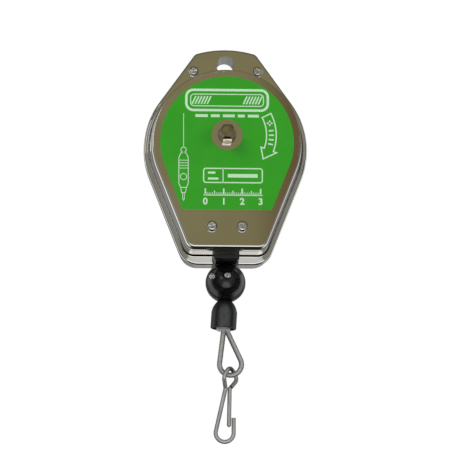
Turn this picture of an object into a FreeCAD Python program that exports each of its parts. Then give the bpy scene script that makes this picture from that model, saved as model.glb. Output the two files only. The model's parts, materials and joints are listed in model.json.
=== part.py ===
"""Spring balancer for hand tools: a drawn steel case that hangs by a bored tab, with a
sprung rope drum inside and a wire rope that ends in a stop ball, a thimble and a snap hook.

Frame: millimetres, X right, Y to the rear, Z up. The origin is the centre of the hanging
bore in the plane of the case's flange, where the bore's axis runs along Y.
"""
import FreeCAD
import Part
import math
import os
from FreeCAD import Vector

# ---------------------------------------------------------------- driving dimensions
BORE_R = 5.5              # hanging bore
CASE_Z = -52.0            # centre of the case's round part
SHAFT_Z = CASE_Z + 4.2    # arbor axis
TAPER = math.radians(21.5)     # lean of the case's sides, from the vertical
TAB_NORMAL = math.radians(35.6)  # direction of the tab sides' normals
RIM_R, RIM_BOTTOM, RIM_CORNER = 49.2, CASE_Z - 71.0, 12.5
TAB_R, TAB_CORNER = 61.7, 4.0
FACE_R, FACE_BOTTOM, FACE_CORNER = 44.4, CASE_Z - 63.6, 5.5
FACE_ROUND = 1.8          # rounding between the dome's face and its wall
SEAM_ROUND = 0.8          # hollow rounding between the dome's wall and the flange
EDGE_ROLL = 1.2           # rounding between the flange and its skirt
FACE_Y, REAR_Y = -21.0, 20.0
DRAFT = 1.8               # spread of the drawn dome from its face to its foot
COVER_T, PAN_T = 1.2, 1.0      # sheet thickness of the cover and of the rear case
PAN_BEND = 1.6            # outer radius of the rear case where its wall turns into its back
SKIRT = 5.0               # depth of the cover's rolled edge
SEAM = 0.3                # gap between the cover's skirt and the rear case
SEAT = 0.05               # gap between pieces that are screwed or pressed together

LABEL_R, LABEL_BOTTOM, LABEL_CORNER = 40.0, CASE_Z - 41.5, 1.8
LABEL_T, LABEL_HOLE_R = 0.16, 9.3

TAB_SCREW = (19.3, CASE_Z + 48.0)
LOW_SCREW = (9.0, CASE_Z - 51.6)
SCREW_R, SCREW_HOLE_R = 2.0, 2.1    # M4 case screws and their holes
SPACER_R, SPACER_BORE_R = 2.8, 2.05
TUBE_WALL = 0.5           # wall of the tube that lines the hanging bore
SLEEVE_BEVEL = 0.35       # rear edge of the sleeves, clear of the pan's bend
HEAD_SEAT = 0.02          # gap under a tightened screw or rivet head

ARBOR_R, HEX_AF, HEX_END = 5.3, 9.0, -31.0
JOURNAL_R, JOURNAL_Y, ARBOR_END = 4.0, 16.3, 22.5
CLIP_Y, CLIP_ROOT_R = (20.9, 21.7), 3.5   # retaining ring on the arbor's rear end
PLAY = 0.05               # radial play of the arbor in its bearings and bushes
ARBOR_GAP = 0.2           # gap round the arbor in the cover's hole
BEARING_R, BEARING_SPIGOT_R = 10.0, 6.4
BUSH_R, BUSH_FLANGE_R = 7.5, 9.0

ROPE_R = 0.9
PITCH_R = 31.75           # radius of the rope's centre line on the drum
ROPE_PITCH, ROPE_TURNS = 2.4, 8
WIND_FRONT = -12.2        # first turn of the winding
WIND_REAR = WIND_FRONT + ROPE_PITCH * (ROPE_TURNS - 1)
DRUM_FRONT, DRUM_REAR = -15.5, 8.5
DRUM_FLANGE_R, DRUM_WEB, SPRING_ROOM_R = 36.0, 2.0, 27.5
HUB_R, HUB_LENGTH = 10.0, 3.6
SPRING_COVER_T, SPRING_BOSS = 1.2, 2.6    # thickness of the spring's cover and height of its boss
COVER_SCREW_R, COVER_SCREW_CIRCLE = 0.9, 29.2
SPRING_T, SPRING_COILS = 0.4, 11

TEETH, RATCHET_R, RATCHET_ROOT = 12, 13.0, 10.6
RATCHET_Y = (12.3, 15.6)
PAWL_PIVOT = (15.2, SHAFT_Z + 16.0)
PAWL_TIP = 0.52           # height of the pawl's tip over the tooth that it holds
PIVOT_R = 2.0

GUIDE_TOP, GUIDE_SHOULDER, GUIDE_BOTTOM = -97.6, -109.8, -123.3
GUIDE_HALF, LUG_HALF, GUIDE_DEPTH = 7.5, 14.0, 17.0
NOTCH_GAP = 0.3           # gap between the guide's neck and the cases' notches
NOTCH_RISE_FRONT, NOTCH_RISE_REAR = 5.0, 3.0
INSERT_R, INSERT_TOP = 3.0, 9.1   # wear ring's radius and the top of its seat above the guide's end
ROPE_BORE = 1.5
FLARE_R = 10.5            # flare of the guide's mouth
FLARE_Z = GUIDE_TOP - 8.0

BALL_Z, BALL_R = CASE_Z - 81.9, 12.0
BALL_GAP = 0.4            # gap between the ball and the guide's hollow
BALL_TURN = math.radians(22.5)   # turn of the ball's clamp about the rope
CAP_TOP, CAP_MOUTH, CAP_R = -143.6, -161.8, 7.7
CAP_LEAN = 3.6            # degrees
CAP_X = -0.2
FERRULE_R, FERRULE_HALF = 4.2, 2.6   # ferrule's radius and half of its crimped thickness
FERRULE_DROP = 1.4        # ferrule's end below the cap's mouth
ROPE_SEAT = 5.5           # from the cap's mouth up to the rope's end in the ferrule

EYE_BEND = Vector(3.0, 0, CASE_Z - 131.2)   # centre of the thimble's round end
EYE_R = 6.9               # radius of the thimble's channel there
THIMBLE_LEAN = math.radians(9.0)
THIMBLE_LENGTH = 25.1     # from that centre to the point where the two runs would meet
CHANNEL_R, CHANNEL_IN = 1.9, 0.95
EYE_SEAT = 0.35           # how far outside the thimble's centre line the rope lies

WIRE_R = 1.25             # hook wire
HOOK_BOW = Vector(-0.5, 0, -224.5)          # centre of the hook's bow
HOOK_BOW_R, HOOK_SPLAY = 5.35, math.radians(12.4)
HOOK_TIP = 9.0            # straight end beyond the bow
LOOP_TOP = EYE_BEND + Vector(0, 0, 4.3 - EYE_R)    # crown of the hook's own eye
LOOP_REACH, LOOP_TURN = 4.0, math.radians(66.0)
LOOP_SIDE, LOOP_ROUND = Vector(4.2, 5.4, -6.0), 3.0    # the eye's widest corners below its crown
NECK_LEFT, NECK_RIGHT = Vector(0.0, -0.8, -197.8), Vector(3.3, 1.4, -196.8)
NECK_ROUND = 2.6
GATE_GAP = 1.5            # from the wire's end to the centre of the gate's pivot ball
GATE_END = Vector(2.05, 0, -219.7)

Y_AXIS, Z_AXIS = Vector(0, 1, 0), Vector(0, 0, 1)
SHAFT = Vector(0, 0, SHAFT_Z)


# ---------------------------------------------------------------- shared geometry
def rod(radius, y0, y1, x=0.0, z=SHAFT_Z):
    """A cylinder along Y from y0 to y1."""
    return Part.makeCylinder(radius, y1 - y0, Vector(x, y0, z), Y_AXIS)


def tube(outer, inner, y0, y1, x=0.0, z=SHAFT_Z):
    return rod(outer, y0, y1, x, z).cut(rod(inner, y0 - 1, y1 + 1, x, z))


def block(x0, x1, y0, y1, z0, z1):
    return Part.makeBox(x1 - x0, y1 - y0, z1 - z0, Vector(x0, y0, z0))


def turned_y(profile, x=0.0, z=SHAFT_Z):
    """Revolve a closed outline of (radius, y) corners about an axis along Y."""
    corners = [Vector(x + r, y, z) for r, y in profile]
    face = Part.Face(Part.makePolygon(corners + corners[:1]))
    return face.revolve(Vector(x, 0, z), Y_AXIS, 360)


def turned_z(edges):
    """Revolve closed edges drawn in the XZ plane about the rope's line."""
    return Part.Face(Part.Wire(edges)).revolve(Vector(0, 0, 0), Z_AXIS, 360)


def line(a, b):
    return Part.LineSegment(a, b).toShape()


def arc(a, middle, b):
    return Part.Arc(a, middle, b).toShape()


def at(radius, angle, y, centre_z=CASE_Z):
    """The point at an angle about a centre in the case's middle plane."""
    return Vector(radius * math.cos(angle), y, centre_z + radius * math.sin(angle))


def mirrored(point):
    return Vector(-point.x, point.y, point.z)


def group(shapes):
    return Part.makeCompound(shapes)


def lower_edges(radius, bottom, corner, y):
    """The case's tapered sides and flat bottom, from the right tangent point to the left."""
    tangent = at(radius, -TAPER, y)
    down = Vector(-math.sin(TAPER), 0, -math.cos(TAPER))
    foot = tangent + down * ((tangent.z - bottom) / math.cos(TAPER))
    reach = corner * math.tan((math.pi / 2 - TAPER) / 2)
    start = foot - down * reach
    end = Vector(foot.x - reach, y, bottom)
    centre = end + Vector(0, 0, corner)
    middle = centre + (foot - centre).normalize() * corner
    right = [line(tangent, start), arc(start, middle, end)]
    left = [arc(mirrored(end), mirrored(middle), mirrored(start)),
            line(mirrored(start), mirrored(tangent))]
    return right + [line(end, mirrored(end))] + left


def egg_wire(radius, bottom, corner, y):
    """A round top that runs into tapered sides."""
    tangent = at(radius, -TAPER, y)
    top = arc(mirrored(tangent), at(radius, math.pi / 2, y), tangent)
    return Part.Wire([top] + lower_edges(radius, bottom, corner, y))


def face_wire(spread, y):
    """The dome's outline, grown by a spread from that of its face."""
    return egg_wire(FACE_R + spread, FACE_BOTTOM - spread, FACE_CORNER + spread, y)


def dome(inset, y_foot):
    """The dome as a solid, with its face's edge rounded; inset makes its cavity."""
    y_face = FACE_Y + inset
    spread_foot = DRAFT * (y_foot - FACE_Y) / -FACE_Y - inset
    solid = Part.makeLoft([face_wire(spread_foot, y_foot), face_wire(-inset, y_face)], True, True)
    rim = [e for e in solid.Edges if abs(e.BoundBox.YMax - y_face) < 1e-6]
    return solid.makeFillet(FACE_ROUND - inset, rim)


def flange(inset, y0, y1):
    """A slice of the case's full outline with the tab, set in from the outer edge."""
    radius, tab = RIM_R - inset, TAB_R - inset
    tangent = at(radius, -TAPER, y0)
    shoulder = at(radius, TAB_NORMAL, y0)
    rise = math.sqrt(tab ** 2 - radius ** 2)
    corner = shoulder + Vector(-math.sin(TAB_NORMAL), 0, math.cos(TAB_NORMAL)) * rise
    side = at(radius, (TAB_NORMAL - TAPER) / 2, y0)
    edges = [arc(corner, at(tab, math.pi / 2, y0), mirrored(corner)),
             line(mirrored(corner), mirrored(shoulder)),
             arc(mirrored(shoulder), mirrored(side), mirrored(tangent)),
             line(shoulder, corner), arc(tangent, side, shoulder)]
    edges += lower_edges(radius, RIM_BOTTOM + inset, RIM_CORNER - inset, y0)
    wire = Part.Wire(Part.__sortEdges__(edges))
    solid = Part.Face(wire).extrude(Vector(0, y1 - y0, 0))
    upright = [e for e in solid.Edges
               if abs(abs(e.CenterOfMass.x) - corner.x) < 1e-3 and e.CenterOfMass.z > CASE_Z + 50]
    return solid.makeFillet(TAB_CORNER - inset, upright)


def edges_in_plane(shape, y):
    return [e for e in shape.Edges
            if abs(e.BoundBox.YMin - y) < 1e-4 and abs(e.BoundBox.YMax - y) < 1e-4]


def screw_places():
    """The four screws as (x, z, front seat)."""
    tab = [(side * TAB_SCREW[0], TAB_SCREW[1], 0.0) for side in (-1, 1)]
    low = [(side * LOW_SCREW[0], LOW_SCREW[1], FACE_Y) for side in (-1, 1)]
    return tab, low


def pan_screw(head_r, head_h, shank_r, length):
    """A pan-head screw along +Z with its seat at the origin and a cross recess on top."""
    profile = [line(Vector(0, 0, -length), Vector(shank_r, 0, -length)),
               line(Vector(shank_r, 0, -length), Vector(shank_r, 0, 0)),
               line(Vector(shank_r, 0, 0), Vector(head_r, 0, 0)),
               line(Vector(head_r, 0, 0), Vector(head_r, 0, head_h * 0.4)),
               arc(Vector(head_r, 0, head_h * 0.4),
                   Vector(head_r * 0.82, 0, head_h * 0.86), Vector(head_r * 0.4, 0, head_h)),
               line(Vector(head_r * 0.4, 0, head_h), Vector(0, 0, head_h)),
               line(Vector(0, 0, head_h), Vector(0, 0, -length))]
    screw = turned_z(profile)
    width, reach, depth = head_r * 0.24, head_r * 0.58, head_h * 0.55
    for turn in (0, 90):
        bar = block(-reach, reach, -width / 2, width / 2, head_h - depth, head_h + 1)
        bar.rotate(Vector(0, 0, 0), Z_AXIS, turn)
        screw = screw.cut(bar)
    return screw


def placed(shape, position, direction, spin=0.0):
    """A copy of a shape drawn along +Z, spun and turned to a direction and moved."""
    copy = shape.copy()
    copy.rotate(Vector(0, 0, 0), Z_AXIS, spin)
    turn = FreeCAD.Rotation(Z_AXIS, direction)
    copy.Placement = FreeCAD.Placement(position, turn).multiply(copy.Placement)
    return copy


def route(points, bends):
    """A path of straight runs through points, with an arc of its own radius at each bend."""
    edges, start = [], points[0]

    def run_to(end):
        if start.distanceToPoint(end) > 1e-6:
            edges.append(line(start, end))

    for i, radius in enumerate(bends, 1):
        back = (points[i - 1] - points[i]).normalize()
        on = (points[i + 1] - points[i]).normalize()
        half = back.getAngle(on) / 2
        reach = radius / math.tan(half)
        begin, end = points[i] + back * reach, points[i] + on * reach
        inward = (back + on).normalize()
        middle = points[i] + inward * (radius / math.sin(half) - radius)
        run_to(begin)
        edges.append(arc(begin, middle, end))
        start = end
    run_to(points[-1])
    return edges


def swept(edges, radius):
    """A round wire or rope along straight and arc edges."""
    path = Part.Wire(edges)
    first = edges[0]
    start = first.valueAt(first.FirstParameter)
    tangent = first.tangentAt(first.FirstParameter)
    profile = Part.Wire(Part.Edge(Part.Circle(start, tangent, radius)))
    return path.makePipeShell([profile], True, False)


# ---------------------------------------------------------------- case
def front_cover():
    """Drawn dome and flange with a rolled skirt, open to the rear and notched for the guide."""
    plate = flange(0, 0, SKIRT)
    plate = plate.makeFillet(EDGE_ROLL, edges_in_plane(plate, 0))
    dome_foot = COVER_T / 2
    body = plate.fuse(dome(0, dome_foot)).removeSplitter()
    foot = face_wire(DRAFT, 0)
    seam = [e for e in edges_in_plane(body, 0)
            if foot.distToShape(Part.Vertex(e.valueAt((e.FirstParameter + e.LastParameter) / 2)))[0]
            < 0.01]
    body = body.makeFillet(SEAM_ROUND, seam)
    body = body.cut(dome(COVER_T, COVER_T + 0.1))
    body = body.cut(flange(COVER_T, COVER_T, SKIRT + 1))
    body = body.cut(rod(BORE_R, -1, 2, 0, 0))
    body = body.cut(rod(ARBOR_R + ARBOR_GAP, FACE_Y - 1, 0))
    tab, low = screw_places()
    for x, z, seat in tab + low:
        body = body.cut(rod(SCREW_HOLE_R, seat - 1, seat + 2, x, z))
    notch = GUIDE_HALF + NOTCH_GAP
    return body.cut(block(-notch, notch, -GUIDE_DEPTH - NOTCH_GAP, SKIRT + 1,
                          RIM_BOTTOM - 2, FACE_BOTTOM + NOTCH_RISE_FRONT))


def rear_case():
    """Drawn pan inside the cover's skirt, bored for the tab, the arbor, the screws and the pawl."""
    front = COVER_T + 0.15
    inset = COVER_T + SEAM
    outer = flange(inset, front, REAR_Y)
    outer = outer.makeFillet(PAN_BEND, edges_in_plane(outer, REAR_Y))
    inner = flange(inset + PAN_T, front - 1, REAR_Y - PAN_T)
    inner = inner.makeFillet(PAN_BEND - PAN_T, edges_in_plane(inner, REAR_Y - PAN_T))
    pan = outer.cut(inner)
    through = (REAR_Y - 5, REAR_Y + 5)
    pan = pan.cut(rod(BORE_R, *through, 0, 0))
    pan = pan.cut(rod(BEARING_SPIGOT_R + 0.1, *through))
    tab, low = screw_places()
    for x, z, _ in tab + low:
        pan = pan.cut(rod(SCREW_HOLE_R, *through, x, z))
    x, z = PAWL_PIVOT
    pan = pan.cut(rod(PIVOT_R + PLAY, *through, x, z))
    notch = GUIDE_HALF + NOTCH_GAP
    return pan.cut(block(-notch, notch, 0, GUIDE_DEPTH + NOTCH_GAP,
                         RIM_BOTTOM - 2, FACE_BOTTOM + NOTCH_RISE_REAR))


def face_label():
    """The printed plate on the dome's face, cut out round the shaft."""
    wire = egg_wire(LABEL_R, LABEL_BOTTOM, LABEL_CORNER, FACE_Y)
    plate = Part.Face(wire).extrude(Vector(0, -LABEL_T, 0))
    return plate.cut(rod(LABEL_HOLE_R, FACE_Y - 1, FACE_Y + 1))


def sleeve(outer, inner, front, x, z):
    """A tube from a seat on the cover to one on the rear case."""
    rear = REAR_Y - PAN_T - SEAT
    body = rod(outer, front, rear, x, z)
    end = [e for e in body.Edges if e.BoundBox.YMin > rear - 1e-4]
    return body.makeChamfer(SLEEVE_BEVEL, end).cut(rod(inner, front - 1, rear + 1, x, z))


def hanger_tube():
    """Tube that lines the hanging bore and keeps the two shells apart there."""
    return sleeve(BORE_R + TUBE_WALL, BORE_R, COVER_T + SEAT, 0, 0)


def spacers(low):
    """Threaded sleeves that hold the two shells apart at a pair of screws."""
    places = screw_places()[1 if low else 0]
    front = FACE_Y + COVER_T + SEAT if low else COVER_T + SEAT
    return group([sleeve(SPACER_R, SPACER_BORE_R, front, x, z) for x, z, _ in places])


def front_screws(low):
    """A pair of pan-head screws in the cover, each turned to its own stop."""
    head_r, head_h, length = (3.4 if low else 3.1), 2.3, 9.0
    screw = pan_screw(head_r, head_h, SCREW_R, length)
    return group([placed(screw, Vector(x, seat - HEAD_SEAT, z), Vector(0, -1, 0), 20 * i + 12)
                  for i, (x, z, seat) in enumerate(screw_places()[1 if low else 0])])


def rear_screws():
    """The four screws that enter the same sleeves from the rear."""
    head_r, head_h, length = 3.1, 2.1, 7.0
    screw = pan_screw(head_r, head_h, SCREW_R, length)
    tab, low = screw_places()
    return group([placed(screw, Vector(x, REAR_Y + HEAD_SEAT, z), Y_AXIS, 25 * i)
                  for i, (x, z, _) in enumerate(tab + low)])


# ---------------------------------------------------------------- rope guide
def rope_guide():
    """Moulded block on the two lower sleeves; its neck comes out under the case."""
    lug_round, neck_bevel, overlap = 5.0, 1.2, 6.0
    lug = block(-LUG_HALF, LUG_HALF, -GUIDE_DEPTH, GUIDE_DEPTH, GUIDE_SHOULDER, GUIDE_TOP)
    ends = [e for e in lug.Edges if abs(e.BoundBox.YLength - 2 * GUIDE_DEPTH) < 1e-6]
    lug = lug.makeFillet(lug_round, ends)
    neck = block(-GUIDE_HALF, GUIDE_HALF, -GUIDE_DEPTH, GUIDE_DEPTH, GUIDE_BOTTOM, GUIDE_SHOULDER + overlap)
    low = [e for e in neck.Edges if abs(e.BoundBox.ZMax - GUIDE_BOTTOM) < 1e-6]
    neck = neck.makeChamfer(neck_bevel, low)
    body = lug.fuse(neck).removeSplitter()
    groove_half, groove_depth = 0.5, 0.9
    for rise in (3.3, 5.7):
        z = GUIDE_BOTTOM + rise
        body = body.cut(block(-5.0, 5.0, -GUIDE_DEPTH - 1, -GUIDE_DEPTH + groove_depth,
                              z - groove_half, z + groove_half))
    for x, z, _ in screw_places()[1]:
        body = body.cut(rod(SPACER_R + 0.1, -GUIDE_DEPTH - 1, GUIDE_DEPTH + 1, x, z))
    pocket_y, pocket_half, wall = 11.0, 4.0, 2.0
    for side in (-1, 1):
        middle = side * pocket_y
        body = body.cut(block(-GUIDE_HALF + wall, GUIDE_HALF - wall, middle - pocket_half,
                              middle + pocket_half, GUIDE_BOTTOM + 4, GUIDE_SHOULDER + 1))
    centre = Vector(ROPE_BORE + FLARE_R, 0, FLARE_Z)
    spread = math.asin((GUIDE_TOP - FLARE_Z) / FLARE_R)
    lip = centre + Vector(-FLARE_R * math.cos(spread), 0, FLARE_R * math.sin(spread))
    middle = centre + Vector(-FLARE_R * math.cos(spread / 2), 0, FLARE_R * math.sin(spread / 2))
    throat = Vector(ROPE_BORE, 0, FLARE_Z)
    top, low = Vector(0, 0, GUIDE_TOP), Vector(0, 0, FLARE_Z)
    mouth = turned_z([line(low, throat), arc(throat, middle, lip), line(lip, top), line(top, low)])
    body = body.cut(mouth)
    body = body.cut(Part.makeCylinder(ROPE_BORE, 30, Vector(0, 0, GUIDE_BOTTOM - 5)))
    body = body.cut(Part.makeCylinder(INSERT_R + SEAT, INSERT_TOP + 1, Vector(0, 0, GUIDE_BOTTOM - 1)))
    return body.cut(Part.makeSphere(BALL_R + BALL_GAP, Vector(0, 0, BALL_Z)))


def guide_insert():
    """Hard wear ring at the guide's mouth, with a rounded bore."""
    length, bore_r, rounding = 7.0, 1.25, 0.8
    ring = Part.makeCylinder(INSERT_R, length, Vector(0, 0, GUIDE_BOTTOM + INSERT_TOP - SEAT - length))
    ring = ring.cut(Part.makeCylinder(bore_r, 12, Vector(0, 0, GUIDE_BOTTOM)))
    ends = [e for e in ring.Edges
            if abs(e.BoundBox.XLength - 2 * bore_r) < 0.01 and e.BoundBox.ZLength < 0.01]
    ring = ring.makeFillet(rounding, ends)
    return ring.cut(Part.makeSphere(BALL_R + BALL_GAP, Vector(0, 0, BALL_Z)))


# ---------------------------------------------------------------- arbor, ratchet and pawl
def arbor():
    """Shaft with a bevelled hexagon in front, a slot for the spring, flats for the ratchet
    wheel, a thinner journal at the rear and a groove for its retaining ring."""
    corner = HEX_AF / math.sqrt(3)
    hexagon = [Vector(corner * math.cos(math.radians(60 * i)), HEX_END,
                      SHAFT_Z + corner * math.sin(math.radians(60 * i))) for i in range(6)]
    hex_length, bevel_length, bevel_r = 10.4, 6.0, 3.4
    head = Part.Face(Part.makePolygon(hexagon + hexagon[:1])).extrude(Vector(0, hex_length, 0))
    wide = bevel_r + bevel_length
    cone = Part.makeCone(bevel_r, wide, bevel_length, Vector(0, HEX_END, SHAFT_Z), Y_AXIS)
    head = head.common(cone.fuse(rod(wide, HEX_END + bevel_length, HEX_END + hex_length + 1)))
    body = rod(ARBOR_R, HEX_END + hex_length - 0.4, JOURNAL_Y).fuse(rod(JOURNAL_R, JOURNAL_Y, ARBOR_END))
    tip = [e for e in body.Edges if abs(e.BoundBox.YMin - ARBOR_END) < 1e-6]
    body = body.makeChamfer(0.6, tip).fuse(head).removeSplitter()
    for side in (-1, 1):
        flat = block(HEX_AF / 2, 8, RATCHET_Y[0] - 0.3, JOURNAL_Y, SHAFT_Z - 8, SHAFT_Z + 8)
        if side < 0:
            flat = flat.mirror(Vector(0, 0, 0), Vector(1, 0, 0))
        body = body.cut(flat)
    slot_half = SPRING_T / 2 + 0.25
    body = body.cut(block(-slot_half, slot_half, DRUM_FRONT + 2, DRUM_REAR, SHAFT_Z + 2.4, SHAFT_Z + 8))
    return body.cut(tube(6, CLIP_ROOT_R, CLIP_Y[0] - 0.1, CLIP_Y[1] + 0.1))


def arbor_clip():
    """Open retaining ring in the arbor's rear groove."""
    ring_r, opening = 7.2, 2.4
    ring = tube(ring_r, CLIP_ROOT_R + PLAY, *CLIP_Y)
    return ring.cut(block(-opening, opening, 20, 23, SHAFT_Z - 9, SHAFT_Z))


def ratchet_wheel():
    """Saw-toothed wheel: each tooth's radial face stops the arbor from running back."""
    corners = []
    for i in range(TEETH):
        angle = 2 * math.pi * i / TEETH
        for radius in (RATCHET_R, RATCHET_ROOT):
            corners.append(Vector(radius * math.cos(angle), RATCHET_Y[0],
                                  SHAFT_Z + radius * math.sin(angle)))
    wheel = Part.Face(Part.makePolygon(corners + corners[:1]))
    wheel = wheel.extrude(Vector(0, RATCHET_Y[1] - RATCHET_Y[0], 0))
    across = HEX_AF / 2 + PLAY
    bore = rod(ARBOR_R + PLAY, 10, 18).common(block(-across, across, 9, 19, SHAFT_Z - 9, SHAFT_Z + 9))
    return wheel.cut(bore)


def pawl():
    """Flat pawl: its nose stands in front of a tooth, its tail takes a release pin."""
    x, z = PAWL_PIVOT
    y0, y1 = RATCHET_Y[0] + 0.1, RATCHET_Y[1] - 0.1
    boss_r, tip_z = 4.0, SHAFT_Z + PAWL_TIP
    nose = [Vector(RATCHET_ROOT + 0.35, y0, tip_z), Vector(14.4, y0, tip_z),
            Vector(18.4, y0, SHAFT_Z + 10.0), Vector(x + 3.9, y0, z), Vector(x - 3.9, y0, z),
            Vector(RATCHET_R, y0, SHAFT_Z + 8.0)]
    body = Part.Face(Part.makePolygon(nose + nose[:1])).extrude(Vector(0, y1 - y0, 0))
    body = body.fuse(rod(boss_r, y0, y1, x, z))
    tail = [Vector(x + 1.0, y0, z - 3.7), Vector(x + 9.0, y0, z - 5.0),
            Vector(x + 9.6, y0, z - 1.0), Vector(x + 1.0, y0, z + 3.7)]
    body = body.fuse(Part.Face(Part.makePolygon(tail + tail[:1])).extrude(Vector(0, y1 - y0, 0)))
    body = body.removeSplitter()
    return body.cut(rod(PIVOT_R + 0.1, y0 - 1, y1 + 1, x, z))


def pawl_pins():
    """The pawl's riveted pivot and the stop for its spring."""
    x, z = PAWL_PIVOT
    front, head_r, rivet_r = 11.6, 3.4, 3.2
    pivot = rod(PIVOT_R, front + 0.1, REAR_Y + 0.3, x, z).fuse(rod(head_r, front, front + 0.7, x, z))
    pivot = pivot.fuse(rod(rivet_r, REAR_Y + HEAD_SEAT, REAR_Y + 1.1, x, z))
    stop_r, stop_front = 1.2, 14.8
    stop = rod(stop_r, stop_front, REAR_Y - PAN_T - SEAT, x - 7.0, z + 4.0)
    return group([pivot, stop])


def pawl_spring():
    """Torsion spring round the pivot: one leg on the stop, one on the pawl."""
    x, z = PAWL_PIVOT
    y, coil_r, wire_r, leg_r = 17.1, 3.0, 0.45, 0.4
    coil = Part.makeTorus(coil_r, wire_r, Vector(x, y, z), Y_AXIS)
    back = swept([line(Vector(x, y, z + coil_r), Vector(x - 8.0, y, z + coil_r - 0.85))], leg_r)
    knee, foot = Vector(x + 2.4, y, z - 9.0), Vector(x + 3.35, 13.2, z - 9.6)
    down = swept(route([Vector(x + coil_r, y, z), knee, foot], [1.4]), leg_r)
    return coil.fuse(back).fuse(down)


def front_bearing():
    """Flanged bush on the inside of the cover."""
    inner, seat = ARBOR_R + PLAY, FACE_Y + COVER_T + SEAT
    step, end, spigot_r = seat + 1.55, seat + 3.55, 7.4
    return turned_y([(inner, seat), (BEARING_R, seat), (BEARING_R, step), (spigot_r, step),
                     (spigot_r, end), (inner, end)])


def rear_bearing():
    """Flanged bush pressed out through the rear case."""
    inner, inside, outside = JOURNAL_R + PLAY, REAR_Y - PAN_T - SEAT, REAR_Y + 0.6
    front = inside - 1.75
    return turned_y([(inner, front), (BEARING_R, front), (BEARING_R, inside), (BEARING_SPIGOT_R, inside),
                     (BEARING_SPIGOT_R, outside), (inner, outside)])


# ---------------------------------------------------------------- drum and mainspring
def drum():
    """Flanged drum with a rope groove per turn and a cup for the mainspring."""
    root, ridge = PITCH_R - ROPE_R - 0.05, PITCH_R - 0.35
    slope, groove_half = 0.4, 0.5
    outline = [(BUSH_R + SEAT, DRUM_FRONT), (DRUM_FLANGE_R, DRUM_FRONT),
               (DRUM_FLANGE_R, DRUM_FRONT + DRUM_WEB - slope), (ridge, WIND_FRONT - ROPE_PITCH / 2)]
    for turn in range(ROPE_TURNS):
        y = WIND_FRONT + turn * ROPE_PITCH
        outline += [(root, y - groove_half), (root, y + groove_half), (ridge, y + ROPE_PITCH / 2)]
    inside = DRUM_FRONT + DRUM_WEB
    outline += [(DRUM_FLANGE_R, DRUM_REAR - DRUM_WEB + slope), (DRUM_FLANGE_R, DRUM_REAR),
                (SPRING_ROOM_R, DRUM_REAR), (SPRING_ROOM_R, inside), (HUB_R, inside),
                (HUB_R, DRUM_FRONT + HUB_LENGTH), (BUSH_R + SEAT, DRUM_FRONT + HUB_LENGTH)]
    body = turned_y(outline)
    hole_r, hole_circle = 4.5, 18.5
    for i in range(6):
        angle = math.radians(60 * i + 30)
        body = body.cut(rod(hole_r, DRUM_FRONT - 1, inside + 1,
                            hole_circle * math.cos(angle), SHAFT_Z + hole_circle * math.sin(angle)))
    for x, z in cover_screw_places():
        body = body.cut(rod(COVER_SCREW_R + SEAT, DRUM_REAR - 6, DRUM_REAR + 1, x, z))
    half, low, high = 3.2, SHAFT_Z + 31.5, SHAFT_Z + 34.5
    return body.cut(block(-half, half, DRUM_FRONT - 1, inside - slope, low, high))


def cover_screw_places():
    angles = [math.radians(90 * i + 45) for i in range(4)]
    return [(COVER_SCREW_CIRCLE * math.cos(a), SHAFT_Z + COVER_SCREW_CIRCLE * math.sin(a)) for a in angles]


def spring_cover():
    """Disc that closes the spring's cup, with a boss for the rear bush."""
    y, bore = DRUM_REAR + SEAT, BUSH_R + SEAT
    disc = turned_y([(bore, y), (34.0, y), (34.0, y + SPRING_COVER_T), (HUB_R, y + SPRING_COVER_T),
                     (HUB_R, y + SPRING_BOSS), (bore, y + SPRING_BOSS)])
    for x, z in cover_screw_places():
        disc = disc.cut(rod(COVER_SCREW_R + 0.2, y - 1, y + 3, x, z))
    return disc


def cover_screws():
    """The four small screws in the spring's cover."""
    head_r, head_h, length = 1.9, 1.1, 6.0
    screw = pan_screw(head_r, head_h, COVER_SCREW_R, length)
    y = DRUM_REAR + SEAT + SPRING_COVER_T + HEAD_SEAT
    return group([placed(screw, Vector(x, y, z), Y_AXIS, 15) for x, z in cover_screw_places()])


def drum_bush(front):
    """Flanged bush pressed into the drum's hub or into the spring cover's boss."""
    inner, flange_t = ARBOR_R + PLAY, 0.5
    if front:
        y = DRUM_FRONT
        return turned_y([(inner, y - flange_t), (BUSH_FLANGE_R, y - flange_t), (BUSH_FLANGE_R, y - SEAT),
                         (BUSH_R, y - SEAT), (BUSH_R, y + HUB_LENGTH), (inner, y + HUB_LENGTH)])
    y = DRUM_REAR + SEAT + SPRING_BOSS
    return turned_y([(inner, y + flange_t), (BUSH_FLANGE_R, y + flange_t), (BUSH_FLANGE_R, y + SEAT),
                     (BUSH_R, y + SEAT), (BUSH_R, DRUM_REAR), (inner, DRUM_REAR)])


def spiral(start, step, halves, y):
    """Half-circle arcs whose radius grows by half a step at each turn of 180 degrees."""
    edges, side, centre, radius = [], 1, 0.0, start
    for _ in range(halves):
        a = Vector(centre + side * radius, y, SHAFT_Z)
        b = Vector(centre - side * radius, y, SHAFT_Z)
        edges.append(arc(a, Vector(centre, y, SHAFT_Z + side * radius), b))
        radius += step / 2
        centre += side * step / 2
        side = -side
    return edges


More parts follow.
